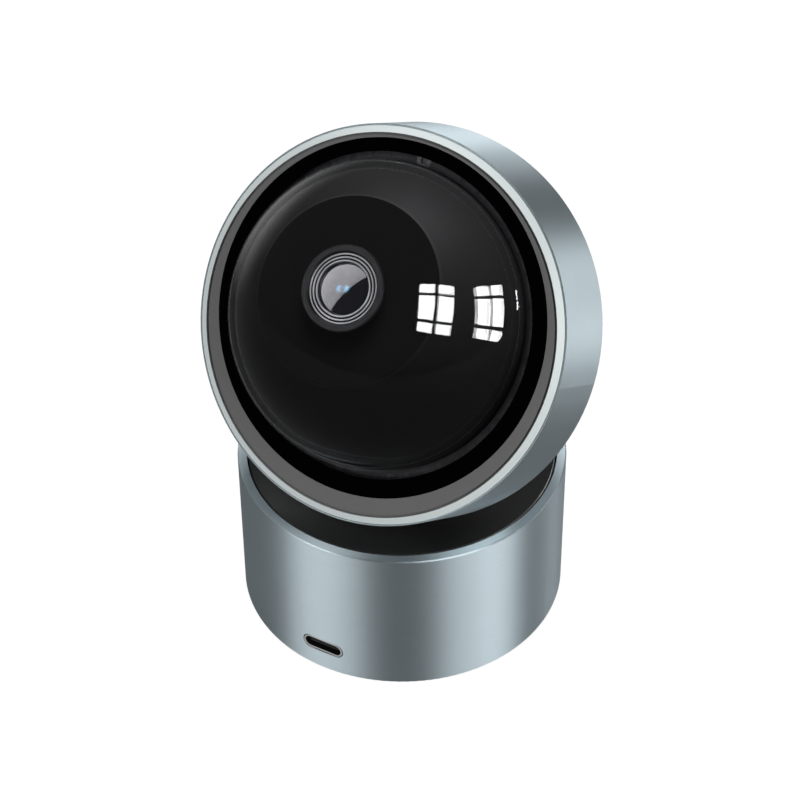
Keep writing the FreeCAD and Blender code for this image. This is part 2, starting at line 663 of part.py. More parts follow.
def screws(node, spots, seat, bite, shank, head, head_height, up=True, frame=FIXED):
    """Screws at the spots (x, y): seat is the face under the head, up drives them towards +Z."""
    made = []
    sign = 1 if up else -1
    for number, (x, y) in enumerate(spots, start=1):
        tag = f"{node}_{number}"
        head_end = seat - sign * head_height
        tip = seat + sign * bite
        low, high = (head_end, seat) if up else (seat, head_end)
        top = cylinder(f"{tag}_head", head, low, high, x, y)
        low, high = (seat, tip) if up else (tip, seat)
        rod = cylinder(f"{tag}_shank", shank, low, high, x, y)
        hexagon = doc.addObject("Part::Prism", f"{tag}_hexagon")
        hexagon.Polygon = 6
        hexagon.setExpression("Circumradius", d.hex_radius.text)
        hexagon.setExpression("Height", d.hex_depth.text)
        place(hexagon, FIXED, x, y, head_end if up else head_end - d.hex_depth)
        made.append(cut(f"{tag}_screw", join(f"{tag}_blank", [top, rod]), [hexagon]))
    return finish(node, group(node, made), frame)


def around(circle, angles):
    """Points on a circle at the angles."""
    return [(circle * cosine(angle), circle * sine(angle)) for angle in angles]


# Heights and radii that several pieces share

base_inner = d.base_radius - d.base_wall
cover_top = d.skirt_height + d.cover_thickness
cover_radius = base_inner - d.seat_gap
foot_inner = d.foot_outer_radius - d.foot_width
insert_low = d.skirt_height - d.insert_proud
insert_top = insert_low + d.insert_length
deck_top = d.deck_low + d.deck_thickness
leg_spots = around(d.leg_circle, [d.leg_angle, 180 - d.leg_angle, 180 + d.leg_angle, -d.leg_angle])
board_low = d.port_height + d.usb_thickness / 2
screw_seat = d.skirt_height + d.screw_recess
flange_top = d.flange_low + d.flange_thickness
pan_gear_low = deck_top + d.bush_flange_height + d.axial_gap
pan_gear_top = pan_gear_low + d.pan_gear_height
pan_distance = base_inner - d.pan_motor_radius - d.pan_motor_space
pan_module = 2 * pan_distance / (d.pan_gear_teeth + d.pinion_teeth)
tilt_gear_radius = d.gear_module * d.tilt_gear_teeth / 2
tilt_distance = tilt_gear_radius + d.gear_module * d.pinion_teeth / 2
pan_motor_low = cover_top + d.pan_motor_lift
bush_radius = d.hub_radius + d.run_gap + d.bush_wall
dish_radius = base_inner - d.dish_gap
dish_top = d.base_height - d.dish_drop
dish_curve = cap_radius(dish_radius - d.dish_round, d.dish_depth)
dish_centre = d.dish_floor + dish_curve
neck_half = d.neck_width / 2
neck_back = d.neck_depth / 2
post_spots = around(d.post_circle, [as_size(0), as_size(180), as_size(240), as_size(300)])
chassis_back = d.chassis_front - d.chassis_plate
square_angles = [as_size(45), as_size(135), as_size(225), as_size(315)]
cross_angles = [as_size(0), as_size(90), as_size(180), as_size(270)]


# Base

def make_base_shell():
    owner = body("base_shell")
    low, round_edge = d.skirt_height, d.base_edge_round
    revolve(owner, "base_wall_turned", [
        (base_inner, low),
        (d.base_radius - round_edge, low, round_edge),
        (d.base_radius, low + round_edge),
        (d.base_radius, d.base_height - d.rim_round, d.rim_round),
        (d.base_radius - d.rim_round, d.base_height),
        (base_inner, d.base_height),
    ])
    slot = sketch_on(owner, "port_slot_outline", "XZ_Plane")
    corner = d.port_slot_height / 2 - d.seat_gap
    outline(slot, rounded_rectangle(
        as_size(0), d.port_height, d.port_slot_width, d.port_slot_height, corner
    ))
    pocket(owner, slot, "port_slot", d.base_radius + CUT_SPARE, backwards=True)
    holes = sketch_on(owner, "speaker_hole_outline", "XZ_Plane")
    spots = []
    for line in (-1, 0, 1):
        for column in range(-3 + abs(line), 4 - abs(line)):
            x = d.grille_pitch * column
            spots.append((x, d.grille_height + d.grille_pitch * line, d.grille_hole_radius))
    circles(holes, spots)
    pocket(owner, holes, "speaker_holes", d.base_radius + CUT_SPARE)
    finish("base_shell", owner)


def make_bottom_cover():
    owner = body("bottom_cover")
    groove = d.skirt_height + d.foot_seat
    boss = d.insert_radius + d.boss_wall
    revolve(owner, "cover_turned", [
        (d.insert_radius, d.skirt_height),
        (foot_inner - d.seat_gap, d.skirt_height),
        (foot_inner - d.seat_gap, groove),
        (d.foot_outer_radius + d.seat_gap, groove),
        (d.foot_outer_radius + d.seat_gap, d.skirt_height),
        (cover_radius, d.skirt_height),
        (cover_radius, cover_top),
        (boss, cover_top),
        (boss, insert_top),
        (d.insert_radius, insert_top),
    ])
    posts = owner.newObject("PartDesign::Pad", "board_posts")
    post_circles = [
        (side * d.board_post_side, -d.board_post_front, d.board_post_radius) for side in (-1, 1)
    ]
    drawn = sketch_on(owner, "board_post_outline", "XY_Plane")
    circles(drawn, post_circles)
    owner.Tip = posts
    posts.Profile = drawn
    posts.Type = 0
    posts.setExpression("Length", board_low.text)
    below = sketch_on(owner, "under_post_outline", "XY_Plane")
    circles(below, post_circles)
    pocket(owner, below, "post_foot_trim", d.skirt_height, backwards=True)
    through = sketch_on(owner, "cover_hole_outline", "XY_Plane")
    holes = [(x, y, d.screw_radius) for x, y in leg_spots]
    holes.append((d.reset_side, -d.reset_front, d.reset_radius + d.reset_gap))
    circles(through, holes)
    pocket(owner, through, "cover_holes", cover_top + CUT_SPARE, backwards=True)
    recess = sketch_on(owner, "recess_outline", "XY_Plane")
    circles(recess, [(x, y, d.screw_head_radius + d.seat_gap) for x, y in leg_spots])
    pocket(owner, recess, "screw_recesses", screw_seat, backwards=True)
    finish("bottom_cover", owner)


def make_foot_and_insert():
    turned_part("rubber_foot_ring", [
        (foot_inner, 0),
        (d.foot_outer_radius, 0),
        (d.foot_outer_radius, d.skirt_height + d.foot_seat),
        (foot_inner, d.skirt_height + d.foot_seat),
    ])
    turned_part("tripod_insert", [
        (d.insert_thread_radius, insert_low),
        (d.insert_radius, insert_low),
        (d.insert_radius, insert_top),
        (0, insert_top),
        (0, insert_top - d.insert_roof),
        (d.insert_thread_radius, insert_top - d.insert_roof),
    ])


def make_base_chassis():
    deck = cylinder("deck", base_inner - d.deck_gap, d.deck_low, deck_top)
    legs = [
        cylinder(f"chassis_leg_{number}", d.leg_radius, cover_top, deck_top, x, y)
        for number, (x, y) in enumerate(leg_spots, start=1)
    ]
    solid = join("chassis_solid", [deck] + legs)
    holes = [
        cylinder(f"leg_hole_{number}", d.screw_radius, cover_top, screw_seat + d.cover_screw_bite, x, y)
        for number, (x, y) in enumerate(leg_spots, start=1)
    ]
    holes.append(cylinder("bush_hole", bush_radius, d.deck_low, deck_top))
    holes.append(cylinder("pan_boss_hole", d.motor_boss_radius + d.seat_gap,
                          d.deck_low, deck_top, -pan_distance))
    for side in (-1, 1):
        holes.append(cylinder(f"pan_screw_hole_{side + 2}", d.small_screw_radius,
                              d.deck_low, deck_top, -pan_distance, side * d.pan_ear_reach))
    finish("base_chassis", cut("base_chassis", solid, holes))
    screws("cover_screws", leg_spots, screw_seat, d.cover_screw_bite,
           d.screw_radius, d.screw_head_radius, d.screw_head_height)
    inner = d.hub_radius + d.run_gap
    flange = bush_radius + d.bush_flange
    turned_part("hub_bush", [
        (inner, d.deck_low - d.bush_overhang),
        (bush_radius, d.deck_low - d.bush_overhang),
        (bush_radius, deck_top),
        (flange, deck_top),
        (flange, deck_top + d.bush_flange_height),
        (inner, deck_top + d.bush_flange_height),
    ])


def make_pan_motor():
    x = -pan_distance
    plate_low = d.deck_low - d.motor_plate
    can = cylinder("pan_can", d.pan_motor_radius, pan_motor_low, d.deck_low, x)
    reach = d.pan_ear_reach + d.ear_half_width
    ears = box("pan_ears", (x - d.ear_half_width, x + d.ear_half_width), (-reach, reach),
               (plate_low, d.deck_low))
    boss = cylinder("pan_boss", d.motor_boss_radius, d.deck_low, deck_top, x)
    solid = join("pan_motor_solid", [can, ears, boss])
    shaft_low = deck_top - d.shaft_bite
    tools = [cylinder("pan_shaft_bore", d.motor_shaft_radius + d.run_gap,
                      shaft_low - d.axial_gap, deck_top, x)]
    for side in (-1, 1):
        tools.append(cylinder(f"pan_ear_hole_{side + 2}", d.small_screw_radius,
                              plate_low, d.deck_low, x, side * d.pan_ear_reach))
    finish("pan_motor", cut("pan_motor", solid, tools))
    spots = [(x, side * d.pan_ear_reach) for side in (-1, 1)]
    screws("pan_motor_screws", spots, plate_low, d.motor_plate + d.deck_thickness,
           d.small_screw_radius, d.small_head_radius, d.small_head_height)
    finish("pan_motor_shaft", cylinder("pan_motor_shaft", d.motor_shaft_radius, shaft_low,
                                       pan_gear_top, x))


def make_base_electronics():
    board = box("base_board_plate", (-d.base_board_half_width, d.base_board_half_width),
                (-d.base_board_front, -d.base_board_back), (board_low, board_low + d.board_thickness))
    usb_front = d.base_radius - d.usb_inset
    usb_back = usb_front - d.usb_length
    finish("base_board", board)
    owner = body("usb_socket_shell")
    drawn = sketch_on(owner, "usb_outer_outline", "XZ_Plane")
    corner = d.usb_thickness / 2 - d.seat_gap
    outline(drawn, rounded_rectangle(as_size(0), as_size(0), d.usb_width, d.usb_thickness, corner))
    pad = owner.newObject("PartDesign::Pad", "usb_outer")
    pad.Profile = drawn
    pad.Type = 0
    pad.setExpression("Length", d.usb_length.text)
    hollow = sketch_on(owner, "usb_inner_outline", "XZ_Plane")
    outline(hollow, rounded_rectangle(
        as_size(0), as_size(0), d.usb_width - 2 * d.usb_wall, d.usb_thickness - 2 * d.usb_wall,
        corner - d.usb_wall
    ))
    hollow.setExpression("AttachmentOffset.Base.z", d.usb_wall.text)
    pocket(owner, hollow, "usb_hollow", d.usb_length, backwards=True)
    finish("usb_socket_shell", owner, FIXED, 0, -usb_back, d.port_height)
    tongue_half = d.usb_tongue_width / 2
    floor_back = -(usb_back + d.usb_wall)
    blade_half, root_half = d.usb_tongue_thickness / 2, d.tongue_root_thickness / 2
    tongue = box("usb_tongue_blade", (-tongue_half, tongue_half),
                 (floor_back - d.usb_tongue_length, floor_back),
                 (d.port_height - blade_half, d.port_height + blade_half))
    root = box("usb_tongue_root", (-tongue_half, tongue_half),
               (floor_back - d.tongue_root_length, floor_back),
               (d.port_height - root_half, d.port_height + root_half))
    finish("usb_tongue", join("usb_tongue", [tongue, root]))


def make_speaker():
    side, front = d.speaker_half_width, d.speaker_back
    low, high = d.speaker_low, d.speaker_low + d.speaker_height
    rim = d.speaker_rim
    block = box("speaker_block", (-side, side), (front - d.speaker_depth, front), (low, high))
    seat = box("speaker_seat", (-side + rim, side - rim), (front - d.cone_depth, front),
               (low + rim, high - rim))
    finish("speaker_frame", cut("speaker_frame", block, [seat]))
    inset = rim + d.seat_gap
    cone = box("speaker_cone_plate", (-side + inset, side - inset),
               (front - d.cone_depth, front - d.cone_depth + d.cone_thickness),
               (low + inset, high - inset))
    finish("speaker_cone", cone)


def make_reset():
    x, y = d.reset_side, -d.reset_front
    collar_low = cover_top + d.reset_rest_gap
    collar_high = collar_low + d.reset_collar_height
    switch_low = board_low - d.switch_height
    stem_top = switch_low - d.reset_travel - d.reset_spare
    cap = cylinder("reset_cap", d.reset_radius, d.skirt_height + d.reset_inset, collar_low, x, y)
    collar = cylinder("reset_collar_disc", d.reset_radius + d.reset_collar, collar_low,
                      collar_high, x, y)
    stem = cylinder("reset_stem", d.reset_stem_radius, collar_high, stem_top, x, y)
    finish("reset_button", join("reset_button", [cap, collar, stem]))
    half = d.switch_width / 2
    finish("reset_switch", box("reset_switch", (x - half, x + half), (y - half, y + half),
                               (switch_low, board_low)))


# Gears

def gear_solid(teeth, module, thickness, bore, slack):
    """A spur gear with involute flanks, axis Z, with a tooth centred on X."""
    pressure = math.radians(sheet.pressure_angle)
    pitch_radius = module * teeth / 2
    base_circle = pitch_radius * math.cos(pressure)
    tip = pitch_radius + sheet.tooth_top * module
    root = pitch_radius - sheet.tooth_foot * module
    half_at_pitch = math.pi / (2 * teeth) - slack / (2 * pitch_radius)
    start = max(base_circle, root)

    def half_angle(radius):
        turned = math.acos(min(base_circle / radius, 1))
        involute = math.tan(turned) - turned
        return half_at_pitch + math.tan(pressure) - pressure - involute

    def at(radius, angle):
        return Vector(radius * math.cos(angle), radius * math.sin(angle), 0)

    def flank(points):
        curve = Part.BSplineCurve()
        curve.interpolate(points)
        return curve.toShape()

    radii = [start + (tip - start) * step / FLANK_STEPS for step in range(FLANK_STEPS + 1)]
    foot_angle = half_angle(start)
    pitch_angle = 2 * math.pi / teeth
    edges = []
    for tooth in range(teeth):
        middle = tooth * pitch_angle
        rising = [at(radius, middle - half_angle(radius)) for radius in radii]
        falling = [at(radius, middle + half_angle(radius)) for radius in reversed(radii)]
        foot_before = at(root, middle - foot_angle)
        foot_after = at(root, middle + foot_angle)
        if root < start:
            edges.append(Part.makeLine(foot_before, rising[0]))
        edges.append(flank(rising))
        edges.append(Part.Arc(rising[-1], at(tip, middle), falling[0]).toShape())
        edges.append(flank(falling))
        if root < start:
            edges.append(Part.makeLine(falling[-1], foot_after))
        valley = at(root, middle + pitch_angle / 2)
        next_foot = at(root, middle + pitch_angle - foot_angle)
        edges.append(Part.Arc(foot_after, valley, next_foot).toShape())
    solid = Part.Face(Part.Wire(edges)).extrude(Vector(0, 0, thickness))
    if bore:
        solid = solid.cut(Part.makeCylinder(bore, thickness))
    return solid


def gear_piece(node, shape, placement):
    """A gear cut by its formula; its sizes are read from the sheet."""
    made = doc.addObject("Part::Feature", node)
    made.Shape = shape
    made.Placement = placement
    return finish(node, made)


def half_tooth(teeth):
    return 180.0 / teeth


def make_pan_gears():
    module, slack = pan_module.value, sheet.gear_slack
    ring = gear_solid(int(sheet.pan_gear_teeth), module, sheet.pan_gear_height,
                      sheet.hub_radius, slack)
    towards_pinion = Rotation(Vector(0, 0, 1), 180)
    gear_piece("pan_gear", ring, Placement(Vector(0, 0, pan_gear_low.value), towards_pinion))
    pinion = gear_solid(int(sheet.pinion_teeth), module, sheet.pinion_height,
                        sheet.motor_shaft_radius, slack)
    low = pan_gear_top.value - sheet.pinion_height - sheet.axial_gap
    gap_first = Rotation(Vector(0, 0, 1), half_tooth(sheet.pinion_teeth))
    gear_piece("pan_pinion", pinion, Placement(Vector(-pan_distance.value, 0, low), gap_first))


def make_tilt_gears():
    module, slack = sheet.gear_module, sheet.gear_slack
    full = gear_solid(int(sheet.tilt_gear_teeth), module, sheet.tilt_gear_width, 0, slack)
    # Angles are measured about +X; the pinion's direction falls as the head rises.
    ahead = sheet.highest_elevation - sheet.rest_elevation + sheet.sector_spare
    behind = sheet.rest_elevation - sheet.lowest_elevation + sheet.sector_spare
    reach = tilt_gear_radius.value + 2 * module
    wedge = Part.makeCylinder(reach, sheet.tilt_gear_width, Vector(0, 0, 0), Vector(0, 0, 1),
                              ahead + behind)
    wedge.rotate(Vector(0, 0, 0), Vector(0, 0, 1), -ahead)
    hub = Part.makeCylinder(sheet.tilt_gear_hub, sheet.tilt_gear_width)
    axle = Part.makeCylinder(sheet.axle_radius, sheet.tilt_gear_width)
    sector = full.common(wedge).fuse(hub).removeSplitter().cut(axle)
    # Local Z is the axle's direction, local X points from the tilt axis to the pinion at rest.
    to_pinion = 90 - (sheet.pinion_angle + sheet.rest_elevation)
    direction = Vector(0, math.cos(math.radians(to_pinion)), math.sin(math.radians(to_pinion)))
    axle_direction = Vector(1, 0, 0)
    axes = Rotation(direction, axle_direction.cross(direction), axle_direction, "ZXY")
    centre = Vector(neck_half.value, 0, d.tilt_height.value)
    gear_piece("tilt_sector_gear", sector, Placement(centre, axes))
    pinion = gear_solid(int(sheet.pinion_teeth), module, sheet.tilt_pinion_width,
                        sheet.motor_shaft_radius, slack)
    gap_first = Rotation(Vector(0, 0, 1), half_tooth(sheet.pinion_teeth))
    spot = Vector(sheet.tilt_pinion_side, 0, d.tilt_height.value) + direction * tilt_distance.value
    gear_piece("tilt_pinion", pinion, Placement(spot, axes.multiply(gap_first)))


# Turret

def make_hub():
    owner = body("turret_hub")
    groove_low = d.deck_low - d.bush_overhang - d.axial_gap - d.ring_height
    groove_high = groove_low + d.ring_height
    step = d.hub_radius + d.bush_wall
    revolve(owner, "hub_turned", [
        (d.hub_bore, d.hub_low),
        (d.hub_radius, d.hub_low),
        (d.hub_radius, groove_low),
        (d.hub_radius - d.ring_depth, groove_low),
        (d.hub_radius - d.ring_depth, groove_high),
        (d.hub_radius, groove_high),
        (d.hub_radius, pan_gear_top),
        (step, pan_gear_top),
        (step, d.flange_low),
        (d.flange_radius, d.flange_low),
        (d.flange_radius, flange_top),
        (d.hub_bore, flange_top),
    ])
    through = sketch_on(owner, "hub_hole_outline", "XY_Plane")
    holes = [(x, y, d.small_screw_radius) for x, y in post_spots]
    holes += [(side * d.neck_screw_side, d.neck_screw_back, d.small_screw_radius)
              for side in (-1, 1)]
    circles(through, holes)
    pocket(owner, through, "hub_holes", flange_top + CUT_SPARE, backwards=True)
    recess = sketch_on(owner, "hub_recess_outline", "XY_Plane")
    circles(recess, [(x, y, d.small_head_radius + d.seat_gap) for x, y in post_spots])
    pocket(owner, recess, "hub_recesses", d.flange_low + d.small_head_height, backwards=True)
    finish("turret_hub", owner)
    outer = d.hub_radius - d.ring_depth + d.ring_width
    disc = cylinder("clip_disc", outer, groove_low, groove_high)
    hole = cylinder("clip_hole", d.hub_radius - d.ring_depth, groove_low, groove_high)
    opening = box("clip_opening", (-d.ring_slot / 2, d.ring_slot / 2), (-outer, 0),
                  (groove_low, groove_high))
    finish("hub_retaining_ring", cut("hub_retaining_ring", disc, [hole, opening]))


def make_dish():
    bowl = body("dish_bowl")
    lip_inner = dish_radius - d.dish_thickness
    under = dish_curve + d.dish_thickness
    revolve(bowl, "bowl_turned", [
        (0, d.dish_floor - d.dish_thickness, under),
        (lip_inner, dish_centre - leg(under, lip_inner)),
        (lip_inner, dish_top - d.dish_lip_height),
        (dish_radius, dish_top - d.dish_lip_height),
        (dish_radius, dish_top - d.dish_round, d.dish_round),
        (dish_radius - d.dish_round, dish_top, -dish_curve),
        (0, d.dish_floor),
    ])
    post_top = dish_centre - leg(dish_curve, d.post_circle) - d.dish_thickness / 2
    posts = [
        cylinder(f"dish_post_{number}", d.post_radius, flange_top, post_top, x, y)
        for number, (x, y) in enumerate(post_spots, start=1)
    ]
    solid = join("dish_solid", [bowl] + posts)
    seat = d.flange_low + d.small_head_height
    tools = [
        cylinder(f"dish_post_hole_{number}", d.small_screw_radius, flange_top,
                 seat + d.dish_screw_bite, x, y)
        for number, (x, y) in enumerate(post_spots, start=1)
    ]
    gap = d.neck_gap
    tools.append(box("neck_window", (-neck_half - gap, neck_half + gap),
                     (-neck_back - gap, neck_back + gap), (-d.tilt_height, 0), NECK))
    finish("turret_dish", cut("turret_dish", solid, tools))
    screws("turret_screws", post_spots, seat, d.dish_screw_bite, d.small_screw_radius,
           d.small_head_radius, d.small_head_height)


def make_neck():
    column = box("neck_column", (-neck_half, neck_half), (-neck_back, neck_back),
                 (-d.tilt_height, 0), NECK)
    boss = crosswise("neck_boss", d.neck_boss_radius, -neck_half, neck_half, 0, d.tilt_height)
    foot = box("neck_foot", (-neck_half, neck_half), (d.neck_foot_front, d.neck_foot_back),
               (flange_top, flange_top + d.neck_foot_thickness))
    solid = join("neck_solid", [column, boss, foot])
    deep = d.tilt_height
    below = box("under_flange", (-deep, deep), (-deep, deep), (-deep, flange_top))
    channel_low = -(d.tilt_height - flange_top) / cosine(d.neck_lean)
    half = d.channel_half_width
    channel = box("cable_channel", (-half, half), (-neck_back + d.channel_front_wall, neck_back),
                  (channel_low, -d.channel_top), NECK)
    entry = box("cable_entry", (-half, half), (0, d.neck_foot_back - neck_back),
                (flange_top, flange_top + d.channel_entry))
    axle = crosswise("neck_axle_hole", d.axle_radius, -neck_half, neck_half, 0, d.tilt_height)
    tools = [below, channel, entry, axle]
    for side in (-1, 1):
        tools.append(cylinder(f"neck_screw_hole_{side + 2}", d.small_screw_radius, flange_top,
                              flange_top + d.neck_foot_thickness,
                              side * d.neck_screw_side, d.neck_screw_back))
    finish("neck", cut("neck", solid, tools))
    inset = half - d.seat_gap
    cover_low = channel_low + d.neck_depth
    cover = box("neck_cover", (-inset, inset), (neck_back - d.neck_cover_thickness, neck_back),
                (cover_low, -d.channel_top - d.seat_gap), NECK)
    finish("neck_cover", cover)
    spots = [(side * d.neck_screw_side, d.neck_screw_back) for side in (-1, 1)]
    screws("neck_screws", spots, flange_top + d.neck_foot_thickness,
           d.neck_foot_thickness + d.flange_thickness, d.small_screw_radius,
           d.small_head_radius, d.small_head_height, up=False)
    finish("tilt_axle", crosswise("tilt_axle", d.axle_radius, -d.axle_half_length,
                                  d.axle_half_length, 0, d.tilt_height))


def make_shutter():
    """A curved strip behind the slot of the rear shell, fixed to the neck."""
    inner = d.shutter_radius - d.shutter_wall
    sweep = d.shutter_back - d.shutter_front
    layers = []
    for name, radius in (("shutter_outer", d.shutter_radius), ("shutter_inner", inner)):
        made = crosswise(name, radius, -d.shutter_half_width, d.shutter_half_width)
        made.setExpression("Angle", sweep.text)
        layers.append(made)
    strip = cut("shutter_strip", layers[0], [layers[1]])
    place(strip, Frame((0, 0, d.tilt_height), d.shutter_front))
    column = box("shutter_neck_hole", (-neck_half, neck_half), (-neck_back, neck_back),
                 (-d.tilt_height, 0), NECK)
    finish("slot_shutter", cut("slot_shutter", strip, [column]))


def make_harness():
    """The cable from the hub bore through the neck, ending in the channel."""
    lean = math.radians(sheet.neck_lean)
    down = Vector(0, math.sin(lean), -math.cos(lean))
    radius = sheet.cable_radius
    level = flange_top.value + radius + sheet.axial_gap
    top = Vector(0, 0, d.tilt_height.value)
    channel_middle = (sheet.channel_front_wall - sheet.neck_cover_thickness) / 2
    shift = Vector(0, math.cos(lean), math.sin(lean)) * channel_middle
    length = (d.tilt_height.value + shift.z - level) / math.cos(lean)
    corners = [
        Vector(0, 0, d.hub_low.value + radius),
        Vector(0, 0, level),
        top + shift + down * length,
        top + shift + down * (sheet.channel_top + 2 * radius),
    ]
    edges = []
    start = corners[0]
    for before, corner, after in zip(corners, corners[1:], corners[2:]):
        inward = (before - corner).normalize()
        outward = (after - corner).normalize()
        half_turn = inward.getAngle(outward) / 2
        back = sheet.cable_bend / math.tan(half_turn)
        first, last = corner + inward * back, corner + outward * back
        centre = corner + (inward + outward).normalize() * (sheet.cable_bend / math.sin(half_turn))
        middle = centre + (corner - centre).normalize() * sheet.cable_bend
        edges.append(Part.makeLine(start, first))
        edges.append(Part.Arc(first, middle, last).toShape())
        start = last
    edges.append(Part.makeLine(start, corners[-1]))
    path = Part.Wire(edges)
    ring = Part.Wire([Part.makeCircle(radius, corners[0], Vector(0, 0, 1))])
    tube = path.makePipeShell([ring], True, False)
    made = doc.addObject("Part::Feature", "cable_harness")
    made.Shape = tube
    finish("cable_harness", made)


# Head

def make_drum():
    tube = body("drum_tube")
    bore = d.drum_bore
    rounding_end = -d.drum_back - leg(d.drum_round, bore - (d.drum_back_radius - d.drum_round))
    revolve(tube, "drum_turned", [
        (bore, rounding_end, d.drum_round),
        (d.drum_back_radius, -d.drum_back),
        (d.drum_front_radius, d.drum_front),
        (d.drum_front_radius - d.drum_lip, d.drum_front),
        (d.drum_front_radius - d.drum_lip, d.drum_ledge),
        (bore, d.drum_ledge),
    ])
    spots = around(d.drum_boss_circle, square_angles)
    low = chassis_back - d.drum_boss_depth
    bosses = [
        cylinder(f"drum_boss_{number}", d.drum_boss_radius, low, chassis_back, x, y)
        for number, (x, y) in enumerate(spots, start=1)
    ]
    solid = join("drum_solid", [tube] + bosses)
    holes = [
        cylinder(f"drum_boss_hole_{number}", d.screw_radius, low, chassis_back, x, y)
        for number, (x, y) in enumerate(spots, start=1)
    ]
    finish("drum_shell", cut("drum_shell", solid, holes), HEAD)
    outer = d.drum_front_radius - d.drum_lip - d.trim_gap
    turned_part("front_trim_ring", [
        (d.trim_inner_radius, d.drum_ledge),
        (outer, d.drum_ledge),
        (outer, d.ring_plane - d.trim_outer_height),
        (d.trim_inner_radius, d.ring_plane),
    ], HEAD)


def make_rear_shell():
    shell = body("rear_bowl")
    spigot = d.drum_bore - d.seat_gap
    spigot_inner = spigot - d.rear_spigot_wall
    inner = d.rear_radius - d.rear_wall
    revolve(shell, "rear_turned", [
        (0, -d.rear_radius, d.rear_radius),
        (spigot, -leg(d.rear_radius, spigot)),
        (spigot, -d.rear_spigot_end),
        (spigot_inner, -d.rear_spigot_end),
        (spigot_inner, -leg(inner, spigot_inner), -inner),
        (0, -inner),
    ])
    # The slot runs from the lowest to the highest pose of the head, as seen by the neck.
    half_angle = (neck_back + d.slot_gap) / d.rear_radius * (180 / math.pi)
    low = d.neck_lean + d.lowest_elevation - half_angle
    high = d.neck_lean + d.highest_elevation + half_angle
    half = neck_half + d.slot_gap
    wedge = crosswise("slot_wedge", d.rear_radius + CUT_SPARE, -half, half)
    wedge.setExpression("Angle", (high - low).text)
    # In the head's frame straight down is -Y, so the wedge starts a right angle further round.
    slot = group("neck_slot", [wedge])
    place(slot, Frame((0, 0, 0), low - 90))
    finish("rear_shell", cut("rear_shell", shell, [slot]), HEAD)


def make_front():
    front = d.carrier_front
    face = d.ring_plane
    plate = body("bezel_plate")
    edge = d.trim_inner_radius - d.seat_gap
    revolve(plate, "bezel_turned", [
        (0, front),
        (edge, front),
        (edge, face - d.bezel_groove),
        (d.bezel_radius, face - d.bezel_groove),
        (d.bezel_radius, face - d.bezel_drop),
        (0, face - d.bezel_drop),
    ])
    hole = cylinder("bezel_hole", d.window_radius, front, face, 0, d.window_rise)
    finish("front_bezel", cut("front_bezel", plate, [hole]), HEAD)
    window = cylinder("window_plate", d.window_radius - d.window_gap, front, face, 0, d.window_rise)
    flange_front = front + d.dome_flange_height
    seat = cylinder("window_seat", d.dome_flange_radius + d.seat_gap, front, flange_front,
                    0, d.dome_rise)
    step = flange_front - d.dome_forward
    opening = cylinder("window_opening", leg(d.dome_radius, step) + d.window_gap, front, face,
                       0, d.dome_rise)
    finish("window_ring", cut("window_ring", window, [seat, opening]), HEAD)
    low = front - d.dome_forward
    inner = d.dome_radius - d.dome_wall
    turned_part("dome_cover", [
        (leg(inner, low), low),
        (d.dome_flange_radius, low),
        (d.dome_flange_radius, step),
        (leg(d.dome_radius, step), step, d.dome_radius),
        (0, d.dome_radius),
        (0, inner, -inner),
    ], HEAD, 0, d.dome_rise, d.dome_forward)
    back = front - d.carrier_thickness
    carrier_radius = d.drum_bore - d.seat_gap - d.chassis_rim_wall - d.seat_gap
    disc = cylinder("carrier_disc", carrier_radius, back, front)
    spots = around(d.carrier_screw_circle, cross_angles)
    tools = [cylinder("carrier_opening_hole", d.carrier_opening, back, front, 0, d.dome_rise)]
    seat_height = front - d.small_head_height
    for number, (x, y) in enumerate(spots, start=1):
        tools.append(cylinder(f"carrier_hole_{number}", d.small_screw_radius, back, front, x, y))
        tools.append(cylinder(f"carrier_recess_{number}", d.small_head_radius + d.seat_gap,
                              seat_height, front, x, y))
    finish("face_carrier", cut("face_carrier", disc, tools), HEAD)
    screws("carrier_screws", spots, seat_height, d.carrier_screw_bite, d.small_screw_radius,
           d.small_head_radius, d.small_head_height, up=False, frame=HEAD)


